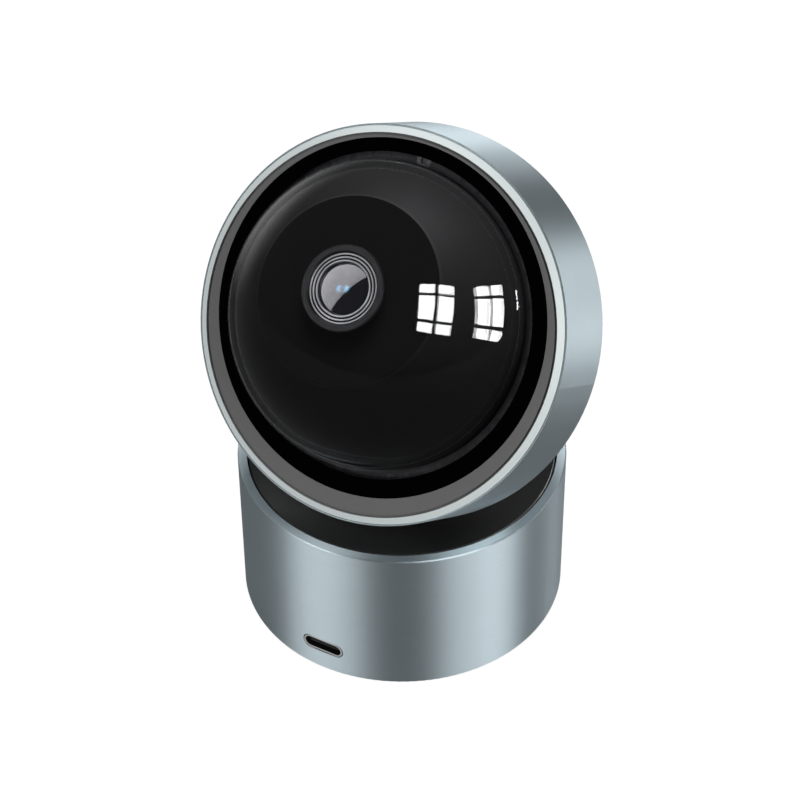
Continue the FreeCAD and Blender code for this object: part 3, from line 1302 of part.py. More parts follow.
def make_head_chassis():
    front, back = d.chassis_front, chassis_back
    rim = d.drum_bore - d.seat_gap
    plate = cylinder("chassis_disc", rim, back, d.carrier_front)
    hollow = cylinder("chassis_hollow", rim - d.chassis_rim_wall, front, d.carrier_front)
    tray = cut("chassis_tray", plate, [hollow])
    side, outer = d.cheek_side, d.cheek_side + d.cheek_thickness
    right = box("motor_cheek", (side, outer), (-d.cheek_low, d.cheek_high), (-d.cheek_back, back))
    left = box("plain_cheek", (-outer, -side), (-d.cheek_low, d.plain_cheek_high),
               (-d.plain_cheek_back, back))
    stud_top = d.carrier_front - d.carrier_thickness
    carrier_spots = around(d.carrier_screw_circle, cross_angles)
    studs = [
        cylinder(f"carrier_stud_{number}", d.carrier_stud_radius, front, stud_top, x, y)
        for number, (x, y) in enumerate(carrier_spots, start=1)
    ]
    inset = d.main_stud_inset
    rows = (-d.main_board_low + inset, d.main_board_high - inset)
    column = d.main_board_half_width - inset
    board_spots = [(sign * column, y) for sign in (-1, 1) for y in rows]
    studs += [
        cylinder(f"board_stud_{number}", d.board_post_radius, front, front + d.main_board_stand, x, y)
        for number, (x, y) in enumerate(board_spots, start=1)
    ]
    solid = join("head_chassis_solid", [tray, right, left] + studs)
    bush = d.axle_radius + d.run_gap + d.tilt_bush_wall
    tools = [crosswise("bush_holes", bush, -outer, outer)]
    y, z = tilt_distance * cosine(d.pinion_angle), -tilt_distance * sine(d.pinion_angle)
    tools.append(crosswise("tilt_boss_hole", d.motor_boss_radius + d.seat_gap, side, outer, y, z))
    for number, (ear_y, ear_z) in enumerate(tilt_ears(), start=1):
        tools.append(crosswise(f"tilt_screw_hole_{number}", d.small_screw_radius, side, outer,
                               ear_y, ear_z))
    boss_spots = around(d.drum_boss_circle, square_angles)
    for number, (x, y) in enumerate(boss_spots, start=1):
        tools.append(cylinder(f"chassis_hole_{number}", d.screw_radius, back, front, x, y))
    depth = stud_top + d.carrier_thickness - d.small_head_height - d.carrier_screw_bite
    for number, (x, y) in enumerate(carrier_spots, start=1):
        tools.append(cylinder(f"stud_hole_{number}", d.small_screw_radius, depth, stud_top, x, y))
    finish("head_chassis", cut("head_chassis", solid, tools), HEAD)
    screws("chassis_screws", boss_spots, front, d.chassis_screw_bite, d.screw_radius,
           d.small_head_radius, d.screw_head_height, up=False, frame=HEAD)
    bushes = []
    for sign in (-1, 1):
        inner_end = side - d.tilt_bush_overhang
        outer_end = outer + d.tilt_bush_overhang
        low, high = (inner_end, outer_end) if sign > 0 else (-outer_end, -inner_end)
        ring = crosswise(f"bush_ring_{sign + 2}", bush, low, high)
        hole = crosswise(f"bush_bore_{sign + 2}", d.axle_radius + d.run_gap, low, high)
        bushes.append(cut(f"tilt_bush_{sign + 2}", ring, [hole]))
    finish("tilt_bushes", group("tilt_bushes", bushes), HEAD)


def tilt_ears():
    """Places (y, z) of the tilt motor's screws in the head's frame."""
    y, z = tilt_distance * cosine(d.pinion_angle), -tilt_distance * sine(d.pinion_angle)
    reach = d.tilt_ear_reach
    return [(y + sign * reach * sine(d.pinion_angle), z + sign * reach * cosine(d.pinion_angle))
            for sign in (-1, 1)]


def make_tilt_motor():
    y, z = tilt_distance * cosine(d.pinion_angle), -tilt_distance * sine(d.pinion_angle)
    side, outer = d.cheek_side, d.cheek_side + d.cheek_thickness
    plate = outer + d.motor_plate
    can = crosswise("tilt_can", d.tilt_motor_radius, outer, plate + d.tilt_motor_length, y, z)
    boss = crosswise("tilt_boss", d.motor_boss_radius, side, outer, y, z)
    motor_frame = Frame((0, y, z), 90 - d.pinion_angle)
    reach = d.tilt_ear_reach + d.ear_half_width
    ears = box("tilt_ears", (outer, plate), (-reach, reach), (-d.ear_half_width, d.ear_half_width),
               motor_frame)
    solid = join("tilt_motor_solid", [can, boss, ears])
    shaft_end = side + d.shaft_bite
    tools = [crosswise("tilt_shaft_bore", d.motor_shaft_radius + d.run_gap, side,
                       shaft_end + d.axial_gap, y, z)]
    for number, (ear_y, ear_z) in enumerate(tilt_ears(), start=1):
        tools.append(crosswise(f"tilt_ear_hole_{number}", d.small_screw_radius, outer, plate,
                               ear_y, ear_z))
    finish("tilt_motor", cut("tilt_motor", solid, tools), HEAD)
    made = []
    for number, (ear_y, ear_z) in enumerate(tilt_ears(), start=1):
        head = crosswise(f"tilt_screw_head_{number}", d.small_head_radius, plate,
                         plate + d.small_head_height, ear_y, ear_z)
        shank = crosswise(f"tilt_screw_shank_{number}", d.small_screw_radius, side, plate,
                          ear_y, ear_z)
        made.append(join(f"tilt_screw_{number}", [head, shank]))
    finish("tilt_motor_screws", group("tilt_motor_screws", made), HEAD)
    shaft = crosswise("tilt_shaft_rod", d.motor_shaft_radius, d.tilt_pinion_side, shaft_end, y, z)
    finish("tilt_motor_shaft", group("tilt_motor_shaft", [shaft]), HEAD)


def make_main_board():
    low = d.chassis_front + d.main_board_stand
    top = low + d.board_thickness
    half = d.main_board_half_width
    board = box("main_board_plate", (-half, half), (-d.main_board_low, d.main_board_high), (low, top))
    finish("main_board", group("main_board", [board]), HEAD)
    shield = box("shield_can", (-d.shield_half_width, d.shield_half_width),
                 (-d.shield_low, -d.shield_low + d.shield_length), (top, top + d.shield_height))
    finish("processor_shield", group("processor_shield", [shield]), HEAD)
    radio = box("radio_can", (d.wifi_side, d.wifi_side + d.wifi_width),
                (-d.shield_low, -d.shield_low + d.wifi_length), (top, top + d.wifi_height))
    finish("wifi_module", group("wifi_module", [radio]), HEAD)


# Camera module in the dome, in the lens frame: Z is the optical axis from the dome's middle

def make_shroud():
    shell = body("shroud_shell")
    outer = d.shroud_radius
    inner = outer - d.shroud_wall
    front, back = d.shroud_front, d.shroud_back
    disc_back = front - d.shroud_wall
    hole = d.lens_bezel_neck + d.shroud_hole_gap
    revolve(shell, "shroud_turned", [
        (leg(inner, back), back),
        (leg(outer, back), back, outer),
        (leg(outer, front), front),
        (hole, front),
        (hole, disc_back),
        (leg(inner, disc_back), disc_back, -inner),
    ])
    offset = d.module_post_offset
    posts = []
    for number, (x, y) in enumerate(CORNERS, start=1):
        posts.append(cylinder(f"module_post_{number}", d.module_post_radius,
                              d.sensor_board_front, disc_back, x * offset, y * offset))
    solid = join("shroud_solid", [shell] + posts)
    size = d.dome_radius + CUT_SPARE
    seat = d.carrier_front - d.dome_forward
    behind = box("behind_carrier", (-size, size), (-size, size), (seat - 2 * size, seat),
                 Frame((0, 0, 0), d.lens_tilt))
    room = cylinder("post_room", d.sensor_board_width, d.shroud_back, d.sensor_board_front)
    trimmed = cut("behind_trimmed", behind, [room])
    finish("lens_shroud", cut("lens_shroud", solid, [trimmed]), LENS)


def make_lens():
    bore = d.barrel_radius + d.seat_gap
    front, edge = d.lens_bezel_front, d.lens_bezel_round
    turned_part("lens_bezel", [
        (bore, front - d.lens_bezel_length),
        (d.lens_bezel_neck, front - d.lens_bezel_length),
        (d.lens_bezel_neck, front - d.lens_bezel_lip),
        (d.lens_bezel_radius, front - d.lens_bezel_lip),
        (d.lens_bezel_radius, front - edge, edge),
        (d.lens_bezel_radius - edge, front),
        (bore + edge, front),
        (bore, front - edge),
    ], LENS)
    floor = d.barrel_front + d.trim_ring_base
    crest = floor + d.trim_crest_height
    profile = []
    outer = d.barrel_radius
    for number in range(3):
        inner = outer - d.trim_crest_width
        profile += [(outer, crest, d.trim_crest_round), (inner, crest)]
        if number < 2:
            outer = inner - d.trim_groove_width
            profile += [(inner, floor), (outer, floor)]
    turned_part("lens_trim_rings", [
        (inner, d.barrel_front),
        (d.barrel_radius, d.barrel_front),
        *profile,
    ], LENS)
    glass, rear = d.front_glass_radius, d.rear_glass_radius
    turned_part("lens_barrel", [
        (rear + d.seat_gap, d.barrel_back),
        (d.barrel_thread_radius, d.barrel_back),
        (d.barrel_thread_radius, d.barrel_shoulder),
        (d.barrel_radius, d.barrel_shoulder),
        (d.barrel_radius, d.barrel_front),
        (glass + d.seat_gap, d.barrel_front),
        (glass + d.seat_gap, d.stop_front),
        (d.stop_radius, d.stop_front),
        (d.stop_radius, d.stop_front - d.stop_thickness),
        (rear + d.seat_gap, d.stop_front - d.stop_thickness),
    ], LENS)
    edge_front = d.front_glass_back + d.front_glass_edge
    turned_part("front_lens_element", [
        (0, d.front_glass_back),
        (glass, d.front_glass_back),
        (glass, edge_front, cap_radius(glass, d.front_glass_crown)),
        (0, edge_front + d.front_glass_crown),
    ], LENS)
    low = d.rear_glass_back
    bulge = cap_radius(rear, d.rear_glass_crown)
    turned_part("rear_lens_element", [
        (0, low - d.rear_glass_crown, bulge),
        (rear, low),
        (rear, low + d.rear_glass_edge, bulge),
        (0, low + d.rear_glass_edge + d.rear_glass_crown),
    ], LENS)
    board = d.sensor_board_front
    turned_part("lens_holder", [
        (d.holder_cavity, board),
        (d.holder_base_radius, board),
        (d.holder_base_radius, board + d.holder_base_height),
        (d.holder_radius, board + d.holder_base_height),
        (d.holder_radius, d.barrel_shoulder - d.holder_top_gap),
        (d.barrel_thread_radius + d.seat_gap, d.barrel_shoulder - d.holder_top_gap),
        (d.barrel_thread_radius + d.seat_gap, d.barrel_back),
        (d.holder_cavity, d.barrel_back),
    ], LENS)


def make_sensor_and_leds():
    front = d.sensor_board_front
    half = d.sensor_board_width / 2
    board = box("sensor_board_plate", (-half, half), (-half, half), (front - d.board_thickness, front))
    finish("sensor_board", group("sensor_board", [board]), LENS)
    wide, tall = d.sensor_width / 2, d.sensor_depth / 2
    chip = box("sensor_chip", (-wide, wide), (-tall, tall), (front, front + d.sensor_thickness))
    finish("image_sensor", group("image_sensor", [chip]), LENS)
    top = d.led_board_front
    low = top - d.led_board_thickness
    disc = cylinder("led_disc", d.led_board_outer, low, top)
    tools = [cylinder("led_disc_hole", d.led_board_inner, low, top)]
    offset = d.module_post_offset
    for number, (x, y) in enumerate(CORNERS, start=1):
        tools.append(cylinder(f"led_post_hole_{number}", d.module_post_radius + d.seat_gap,
                              low, top, x * offset, y * offset))
    finish("ir_led_board", cut("ir_led_board", disc, tools), LENS)
    lamps = [
        cylinder(f"ir_led_{number}", d.led_radius, top, top + d.led_height, x, y)
        for number, (x, y) in enumerate(around(d.led_circle, cross_angles), start=1)
    ]
    finish("ir_leds", group("ir_leds", lamps), LENS)


make_base_shell()
make_bottom_cover()
make_foot_and_insert()
make_base_chassis()
make_pan_motor()
make_base_electronics()
make_speaker()
make_reset()
make_pan_gears()
make_hub()
make_dish()
make_neck()
make_tilt_gears()
make_shutter()
make_harness()
make_drum()
make_rear_shell()
make_front()
make_head_chassis()
make_tilt_motor()
make_main_board()
make_shroud()
make_lens()
make_sensor_and_leds()

doc.recompute()

broken = [item.Name for item in doc.Objects if "Invalid" in item.State or "Error" in item.State]
if broken:
    raise RuntimeError(f"objects that failed: {broken}")
for node, item in parts.items():
    shape = item.Shape
    if shape.isNull() or not shape.isValid() or not shape.Solids:
        raise RuntimeError(f"{node} has no valid solid")

os.makedirs("parts", exist_ok=True)
for node, item in parts.items():
    item.Shape.exportStep(os.path.join("parts", f"{node}.step"))
    box_of = item.Shape.BoundBox
    print(f"{node}: {len(item.Shape.Solids)} solid, volume {item.Shape.Volume:.1f}, "
          f"z {box_of.ZMin:.2f} to {box_of.ZMax:.2f}")
print(f"{len(parts)} nodes")
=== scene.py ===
import json
import math

import bpy
from mathutils import Matrix, Quaternion, Vector

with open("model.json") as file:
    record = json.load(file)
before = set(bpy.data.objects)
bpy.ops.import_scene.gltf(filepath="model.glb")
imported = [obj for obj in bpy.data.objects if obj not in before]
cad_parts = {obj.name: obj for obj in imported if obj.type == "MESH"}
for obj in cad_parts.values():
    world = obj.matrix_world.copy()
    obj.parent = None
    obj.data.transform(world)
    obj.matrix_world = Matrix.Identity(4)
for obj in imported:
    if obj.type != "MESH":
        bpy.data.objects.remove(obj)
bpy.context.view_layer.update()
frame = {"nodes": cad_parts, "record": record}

# Pan-tilt security camera. Metres, in the CAD frame: Z up, front towards -Y.

nodes = frame["nodes"]


def forward_at(elevation):
    """The direction to the front at an elevation."""
    return Vector((0.0, -math.cos(elevation), math.sin(elevation)))


HEAD_ELEVATION = math.radians(33.0)
LENS_ELEVATION = math.radians(46.5)
HEAD_FORWARD = forward_at(HEAD_ELEVATION)
LENS_FORWARD = forward_at(LENS_ELEVATION)
HEAD_UP = Vector((0.0, math.sin(HEAD_ELEVATION), math.cos(HEAD_ELEVATION)))
UP = Vector((0.0, 0.0, 1.0))
ORIGIN = Vector((0.0, 0.0, 0.0))
TILT_AXIS = Vector((0.0, 0.0, 0.0679))
DOME_RISE = 0.00203
DOME_AHEAD = 0.00503
DOME_MIDDLE = TILT_AXIS + DOME_RISE * HEAD_UP + DOME_AHEAD * HEAD_FORWARD
LENS_AHEAD = 0.0274
LENS_FRONT = DOME_MIDDLE + LENS_AHEAD * LENS_FORWARD


# Materials

BRUSH_LINES = 14000.0
BRUSH_BREAKS = 160.0
BRUSH_DEPTH = 0.00002
GRAIN_SCALE = 3000.0
GRAIN_DEPTH = 0.00003
GRAIN_DETAIL = 3.0
CLOUD_SCALE = 60.0
BROAD_SCALE = 90.0
SMEAR_SCALE = 120.0
METAL_CLOUDS = 150.0
RING_CLOUDS = 200.0
CLOUD_DETAIL = 2.0
NOISE_RANGE = (0.3, 0.7)
# Painted shade: the black painted into insides and recesses
INSIDE_SHADE = (0.006, 0.006, 0.006)
BLUE_METAL = (0.69, 0.80, 0.85)
BLUE_DARK = (0.64, 0.745, 0.79)
# Painted shade on the drum's lip
LIP_SHADE = (0.20, 0.23, 0.24)

# Radius and height under which the base shell is painted black as painted shade inside it, and the
# height beyond which the drum's lip is painted dark as painted shade
BASE_INSIDE = (0.03375, 0.0344)
DRUM_LIP = 0.01085

# The inlet's inside, painted black as painted shade, from and to these distances in front of the pan
# axis
INLET = (0.0255, 0.03368)

# Depths along the lens axis from the dome's middle, and the bore of the silver rings; they bound the
# painted shade on the shroud's disc, the painted highlight at its edge and the painted shade in the
# rings' grooves
DISC_DEPTH = 0.0247
DISC_EDGE = 0.00035
GROOVE_DEPTH = 0.0268
GROOVE_FADE = 0.0002
LENS_BORE = 0.0052
NEAR = 0.00002


def scaled(colour, share):
    return tuple(part * share for part in colour)


class Nodes:
    """Short calls for the nodes of a material, a lamp or the world."""

    def __init__(self, tree):
        self.tree = tree

    def node(self, kind, **settings):
        made = self.tree.nodes.new(kind)
        for key, value in settings.items():
            setattr(made, key, value)
        return made

    def feed(self, socket, value):
        if isinstance(value, bpy.types.NodeSocket):
            self.tree.links.new(value, socket)
        else:
            socket.default_value = value

    def vector(self, operation, first, second=None, scale=None):
        made = self.node("ShaderNodeVectorMath", operation=operation)
        self.feed(made.inputs[0], first)
        if second is not None:
            self.feed(made.inputs[1], second)
        if scale is not None:
            self.feed(made.inputs["Scale"], scale)
        name = "Value" if operation in ("DOT_PRODUCT", "LENGTH") else "Vector"
        return made.outputs[name]

    def maths(self, operation, first, second=0.0):
        made = self.node("ShaderNodeMath", operation=operation)
        self.feed(made.inputs[0], first)
        self.feed(made.inputs[1], second)
        return made.outputs[0]

    def between(self, value, low, high):
        return self.maths("MULTIPLY", self.maths("LESS_THAN", value, high),
                          self.maths("GREATER_THAN", value, low))

    def spread(self, value, low, high, source=(0.0, 1.0)):
        """A value of the source range, mapped to low and high."""
        made = self.node("ShaderNodeMapRange")
        self.feed(made.inputs["Value"], value)
        made.inputs["From Min"].default_value, made.inputs["From Max"].default_value = source
        made.inputs["To Min"].default_value = low
        made.inputs["To Max"].default_value = high
        return made.outputs[0]

    def vary(self, value, middle, swing, source=(0.0, 1.0)):
        return self.spread(value, middle - swing, middle + swing, source)

    def blend(self, factor, first, second):
        made = self.node("ShaderNodeMix", data_type="RGBA")
        self.feed(made.inputs["Factor"], factor)
        for letter, value in (("A", first), ("B", second)):
            socket = [s for s in made.inputs if s.name == letter and s.type == "RGBA"][0]
            self.feed(socket, value if isinstance(value, bpy.types.NodeSocket) else (*value, 1.0))
        return [s for s in made.outputs if s.type == "RGBA"][0]

    def place(self):
        """Position in metres at rest."""
        return self.node("ShaderNodeTexCoord").outputs["Object"]

    def about(self, origin, axis):
        """The place from an origin, its height along an axis, and a vector round the axis."""
        rel = self.vector("SUBTRACT", self.place(), tuple(origin))
        along = self.vector("DOT_PRODUCT", rel, tuple(axis))
        return rel, along, self.vector("CROSS_PRODUCT", tuple(axis), rel)

    def noise(self, vector, scale, detail, roughness=0.5):
        made = self.node("ShaderNodeTexNoise")
        self.feed(made.inputs["Vector"], vector)
        made.inputs["Scale"].default_value = scale
        made.inputs["Detail"].default_value = detail
        made.inputs["Roughness"].default_value = roughness
        return made.outputs[0]

    def grain(self, scale):
        return self.noise(self.place(), scale, GRAIN_DETAIL)

    def cloud(self, scale):
        return self.noise(self.place(), scale, CLOUD_DETAIL)

    def rays(self):
        """Whether the camera sees a ray, straight or through glass, and whether it is glossy."""
        kinds = self.node("ShaderNodeLightPath").outputs
        seen = self.maths("MAXIMUM", kinds["Is Camera Ray"], kinds["Is Transmission Ray"])
        return seen, kinds["Is Glossy Ray"]


class Paint(Nodes):
    """A node material with one Principled shader."""

    def __init__(self, name, colour, metallic, roughness, **values):
        self.material = bpy.data.materials.new(name)
        self.material.use_nodes = True
        super().__init__(self.material.node_tree)
        self.tree.nodes.clear()
        self.out = self.node("ShaderNodeOutputMaterial")
        self.main = self.node("ShaderNodeBsdfPrincipled")
        self.tree.links.new(self.main.outputs[0], self.out.inputs["Surface"])
        self.main.inputs["Base Color"].default_value = (*colour, 1.0)
        self.main.inputs["Metallic"].default_value = metallic
        self.main.inputs["Roughness"].default_value = roughness
        for key, value in values.items():
            self.main.inputs[key.replace("_", " ")].default_value = value

    def colour(self, value):
        self.tree.links.new(value, self.main.inputs["Base Color"])

    def rough(self, value):
        self.tree.links.new(value, self.main.inputs["Roughness"])

    def bump(self, height, strength, distance):
        made = self.node("ShaderNodeBump")
        made.inputs["Strength"].default_value = strength
        made.inputs["Distance"].default_value = distance
        self.tree.links.new(height, made.inputs["Height"])
        self.tree.links.new(made.outputs[0], self.main.inputs["Normal"])


def turned(name, colour, dark, axis, origin, roughness, anisotropy, lines=0.03, metallic=1.0,
           inside=None, lip=None):
    """Metal brushed in fine rings round an axis.

    It can be painted black inside a radius and under a height, as painted shade in the hollow, and
    painted dark beyond the height of a lip, as painted shade."""
    paint = Paint(name, colour, metallic, roughness, Anisotropic=anisotropy)
    rel, along, ringwise = paint.about(origin, axis)
    turn = paint.node("ShaderNodeVectorTransform", vector_type="VECTOR",
                      convert_from="OBJECT", convert_to="WORLD")
    paint.feed(turn.inputs[0], ringwise)
    normal = paint.node("ShaderNodeNewGeometry").outputs["Normal"]
    across = paint.vector("CROSS_PRODUCT", turn.outputs[0], normal)
    paint.feed(paint.main.inputs["Tangent"], paint.vector("NORMALIZE", across))
    radius = paint.vector("LENGTH", ringwise)
    rings = paint.node("ShaderNodeCombineXYZ")
    paint.feed(rings.inputs[0], paint.maths("MULTIPLY", along, BRUSH_LINES))
    paint.feed(rings.inputs[1], paint.maths("MULTIPLY", radius, BRUSH_LINES))
    fine = paint.vector("ADD", rings.outputs[0], paint.vector("SCALE", rel, scale=BRUSH_BREAKS))
    grain = paint.noise(fine, 1.0, detail=4.0, roughness=0.6)
    broad = paint.noise(rel, BROAD_SCALE, CLOUD_DETAIL)
    tint = paint.blend(paint.spread(grain, 0.0, 1.0, NOISE_RANGE), colour, dark)
    if inside is not None:
        reach, height = inside
        shade_within = paint.maths("MULTIPLY", paint.maths("LESS_THAN", radius, reach),
                             paint.maths("LESS_THAN", along, height))
        # painted shade: black inside the radius and under the height
        tint = paint.blend(shade_within, tint, INSIDE_SHADE)
    # painted shade: the metal beyond the lip's height is painted darker
    if lip is not None:
        tint = paint.blend(paint.maths("GREATER_THAN", along, lip), tint, LIP_SHADE)
    paint.colour(tint)
    paint.rough(paint.maths("ADD", paint.vary(grain, 0.0, 0.03, NOISE_RANGE),
                            paint.vary(broad, roughness, 0.015)))
    paint.bump(grain, lines, BRUSH_DEPTH)
    return name, paint.material


def moulded(name, colour, roughness, grain_scale=GRAIN_SCALE, strength=0.15, **values):
    """Plastic with a fine moulded grain."""
    paint = Paint(name, colour, 0.0, roughness, **values)
    grain = paint.grain(grain_scale)
    paint.colour(paint.blend(paint.cloud(CLOUD_SCALE), colour, scaled(colour, 1.12)))
    paint.rough(paint.vary(grain, roughness, 0.06))
    paint.bump(grain, strength, GRAIN_DEPTH)
    return name, paint.material


def plain_metal(name, colour, roughness, grain_scale=2500.0, metallic=1.0, inside=None):
    """Fine-grained metal. It can be painted black between two distances in front of the pan axis, as
    painted shade inside the inlet.
    """
    paint = Paint(name, colour, metallic, roughness)
    grain = paint.grain(grain_scale)
    tint = paint.blend(paint.cloud(METAL_CLOUDS), colour, scaled(colour, 0.8))
    if inside is not None:
        split = paint.node("ShaderNodeSeparateXYZ")
        paint.feed(split.inputs[0], paint.place())
        ahead = paint.maths("MULTIPLY", split.outputs[1], -1.0)
        # painted shade: black between the two distances ahead of the pan axis
        tint = paint.blend(paint.between(ahead, *inside), tint, INSIDE_SHADE)
    paint.colour(tint)
    paint.rough(paint.vary(grain, roughness, 0.08))
    paint.bump(grain, strength=0.1, distance=BRUSH_DEPTH)
    return name, paint.material


def board(name):
    """Green circuit board with lighter tracks."""
    green = (0.02, 0.16, 0.08)
    paint = Paint(name, green, metallic=0.0, roughness=0.35)
    tracks = paint.node("ShaderNodeTexBrick", offset=0.3)
    paint.feed(tracks.inputs["Vector"], paint.place())
    tracks.inputs["Scale"].default_value = 260.0
    tracks.inputs["Mortar Size"].default_value = 0.02
    tracks.inputs["Color1"].default_value = (0.015, 0.13, 0.06, 1.0)
    tracks.inputs["Color2"].default_value = (*green, 1.0)
    tracks.inputs["Mortar"].default_value = (0.05, 0.30, 0.14, 1.0)
    paint.colour(tracks.outputs["Color"])
    paint.bump(tracks.outputs["Fac"], strength=0.2, distance=0.00005)
    return name, paint.material


def coated(name, body, roughness):
    """Dark lens glass under a clear coat."""
    paint = Paint(name, body, 0.0, roughness, IOR=1.9, Coat_Weight=0.3, Coat_Roughness=0.02)
    paint.colour(paint.blend(paint.cloud(BROAD_SCALE), body, scaled(body, 1.6)))
    return name, paint.material


def glass(name, colour, face_on, edge, roughness=0.01):
    """Smoked glass: seen through, with a mirror share that grows from face on to the edge."""
    paint = Paint(name, (0.9, 0.9, 0.9), 1.0, roughness)
    smear = paint.grain(SMEAR_SCALE)
    paint.rough(paint.spread(smear, roughness, roughness + 0.02, (0.45, 0.8)))
    clear = paint.node("ShaderNodeBsdfTransparent")
    paint.feed(clear.inputs[0], paint.blend(smear, colour, scaled(colour, 0.95)))
    facing = paint.node("ShaderNodeLayerWeight")
    facing.inputs["Blend"].default_value = 0.5
    power = paint.maths("POWER", facing.outputs["Facing"], 5.0)
    mirror = paint.maths("ADD", paint.maths("MULTIPLY", power, edge - face_on), face_on)
    mixed = paint.node("ShaderNodeMixShader")
    paint.feed(mixed.inputs[0], mirror)
    paint.tree.links.new(clear.outputs[0], mixed.inputs[1])
    paint.tree.links.new(paint.main.outputs[0], mixed.inputs[2])
    paint.tree.links.new(mixed.outputs[0], paint.out.inputs["Surface"])
    return name, paint.material


def shroud(name, ball, disc_shade, edge, roughness=0.55):
    """Black plastic; the flat disc round the lens is painted deeper black as painted shade, with a
    paler ring between as a painted highlight.
    """
    paint = Paint(name, ball, 0.0, roughness, Specular_IOR_Level=0.2)
    along = paint.about(DOME_MIDDLE, LENS_FORWARD)[1]
    disc_shade_mask = paint.maths("GREATER_THAN", along, DISC_DEPTH - NEAR)
    edge_highlight_mask = paint.maths("GREATER_THAN", along, DISC_DEPTH - DISC_EDGE)
    plain = paint.blend(paint.cloud(CLOUD_SCALE), ball, scaled(ball, 1.15))
    # painted shade on the disc, and a painted highlight in the ring at its edge
    paint.colour(paint.blend(disc_shade_mask, paint.blend(edge_highlight_mask, plain, edge), disc_shade))
    grain = paint.grain(GRAIN_SCALE)
    paint.rough(paint.vary(grain, roughness, 0.06))
    paint.bump(grain, strength=0.12, distance=GRAIN_DEPTH)
    return name, paint.material


def ridged(name, colour, dark, roughness):
    """Bright metal, with the grooves behind a depth along the lens axis, outside its bore, painted
    dark as painted shade.
    """
    paint = Paint(name, colour, 1.0, roughness)
    along, ringwise = paint.about(DOME_MIDDLE, LENS_FORWARD)[1:]
    cloud = paint.cloud(RING_CLOUDS)
    bright = paint.blend(cloud, colour, scaled(colour, 0.92))
    crest = paint.spread(along, 0.0, 1.0, (GROOVE_DEPTH, GROOVE_DEPTH + GROOVE_FADE))
    in_bore = paint.maths("LESS_THAN", paint.vector("LENGTH", ringwise), LENS_BORE)
    # painted shade: dark in the grooves, bright on the crests and in the bore
    paint.colour(paint.blend(paint.maths("MAXIMUM", crest, in_bore), dark, bright))
    paint.rough(paint.vary(cloud, roughness, 0.03))
    return name, paint.material


looks = dict((
    turned("base_metal", BLUE_METAL, BLUE_DARK, UP, ORIGIN, roughness=0.5, anisotropy=0.9,
           inside=BASE_INSIDE),
    turned("head_metal", BLUE_METAL, BLUE_DARK, HEAD_FORWARD, TILT_AXIS, roughness=0.45,
           anisotropy=0.85, lip=DRUM_LIP),
    turned("rear_metal", BLUE_METAL, BLUE_DARK, HEAD_FORWARD, TILT_AXIS, roughness=0.40,
           anisotropy=0.3),
    turned("bright_trim", (0.79, 0.855, 0.855), (0.755, 0.82, 0.82), HEAD_FORWARD, TILT_AXIS,
           roughness=0.5, anisotropy=0.3, lines=0.01, metallic=0.35),
    moulded("dish_black", (0.017, 0.0165, 0.016), roughness=0.42),
    moulded("bezel_grey", (0.082, 0.082, 0.081), roughness=0.5),
    moulded("window_black", (0.001, 0.001, 0.001), roughness=0.12, strength=0.0,
            grain_scale=1200.0, Specular_IOR_Level=0.05),
    glass("smoked_dome", (0.80, 0.80, 0.81), face_on=0.02, edge=0.5),
    # the shroud's disc colour is painted shade and its edge colour is a painted highlight
    shroud("shroud_black", ball=(0.024, 0.024, 0.024), disc_shade=(0.006, 0.006, 0.006),
           edge=(0.038, 0.038, 0.038)),
    moulded("lens_black", (0.016, 0.016, 0.017), roughness=0.4),
    # the dark colour is painted shade in the grooves between the rings
    ridged("lens_silver", (0.85, 0.86, 0.87), dark=(0.02, 0.02, 0.02), roughness=0.45),
    coated("lens_glass", (0.006, 0.006, 0.008), roughness=0.02),
    moulded("rubber_black", (0.02, 0.02, 0.02), roughness=0.8, grain_scale=1500.0, strength=0.4),
    moulded("cover_black", (0.03, 0.03, 0.032), roughness=0.6, grain_scale=1800.0, strength=0.4),
    moulded("inner_plastic", (0.05, 0.05, 0.055), roughness=0.5),
    moulded("gear_white", (0.80, 0.79, 0.74), roughness=0.45),
    plain_metal("steel", (0.86, 0.86, 0.86), roughness=0.45, metallic=0.4, inside=INLET),
    plain_metal("zinc_screw", (0.20, 0.20, 0.21), roughness=0.35),
    plain_metal("brass", (0.75, 0.56, 0.28), roughness=0.3),
    board("board_green"),
    plain_metal("shield_tin", (0.66, 0.66, 0.65), roughness=0.35, grain_scale=800.0),
    moulded("chip_black", (0.02, 0.02, 0.02), roughness=0.5),
    moulded("cone_paper", (0.05, 0.05, 0.05), roughness=0.85, grain_scale=900.0, strength=0.6),
    moulded("cable_black", (0.03, 0.03, 0.03), roughness=0.6),
    moulded("led_clear", (0.45, 0.45, 0.50), roughness=0.15),
))

slots = {row["node"]: row["material_slot"] for row in frame["record"]["subparts"]}
for name, piece in nodes.items():
    piece.data.materials.clear()
    piece.data.materials.append(looks[slots[name]])


# Camera, from the fit of the photograph

FORWARD = Vector((-0.3704, 0.6548, -0.6588)).normalized()
EYE = Vector((0.1892, -0.3351, 0.38465))
ROLL = -0.0095
PIXELS_FOCAL = 2512.35
PIXELS_WIDE = 800.0
SENSOR = 36.0

across = FORWARD.cross(UP).normalized()
upward = across.cross(FORWARD)
right = math.cos(ROLL) * across + math.sin(ROLL) * upward
top = -math.sin(ROLL) * across + math.cos(ROLL) * upward
eye = bpy.data.cameras.new("camera")
eye.sensor_width = SENSOR
eye.lens = PIXELS_FOCAL / PIXELS_WIDE * SENSOR
eye.clip_start = 0.01
eye_object = bpy.data.objects.new("camera", eye)
bpy.context.scene.collection.objects.link(eye_object)
for row in range(3):
    eye_object.matrix_world[row] = (right[row], top[row], -FORWARD[row], EYE[row])
bpy.context.scene.camera = eye_object


# Floor and world: white to the camera and through glass, much darker in reflections

WHITE = (1.0, 1.0, 1.0)
FLOOR_HALF = 3.0
FLOOR_COLOUR = (0.12, 0.12, 0.12)
FLOOR_SEEN = 0.93
FLOOR_GLOSSY = 0.02
WORLD_DIFFUSE = 0.213
WORLD_GLOSSY = 0.097

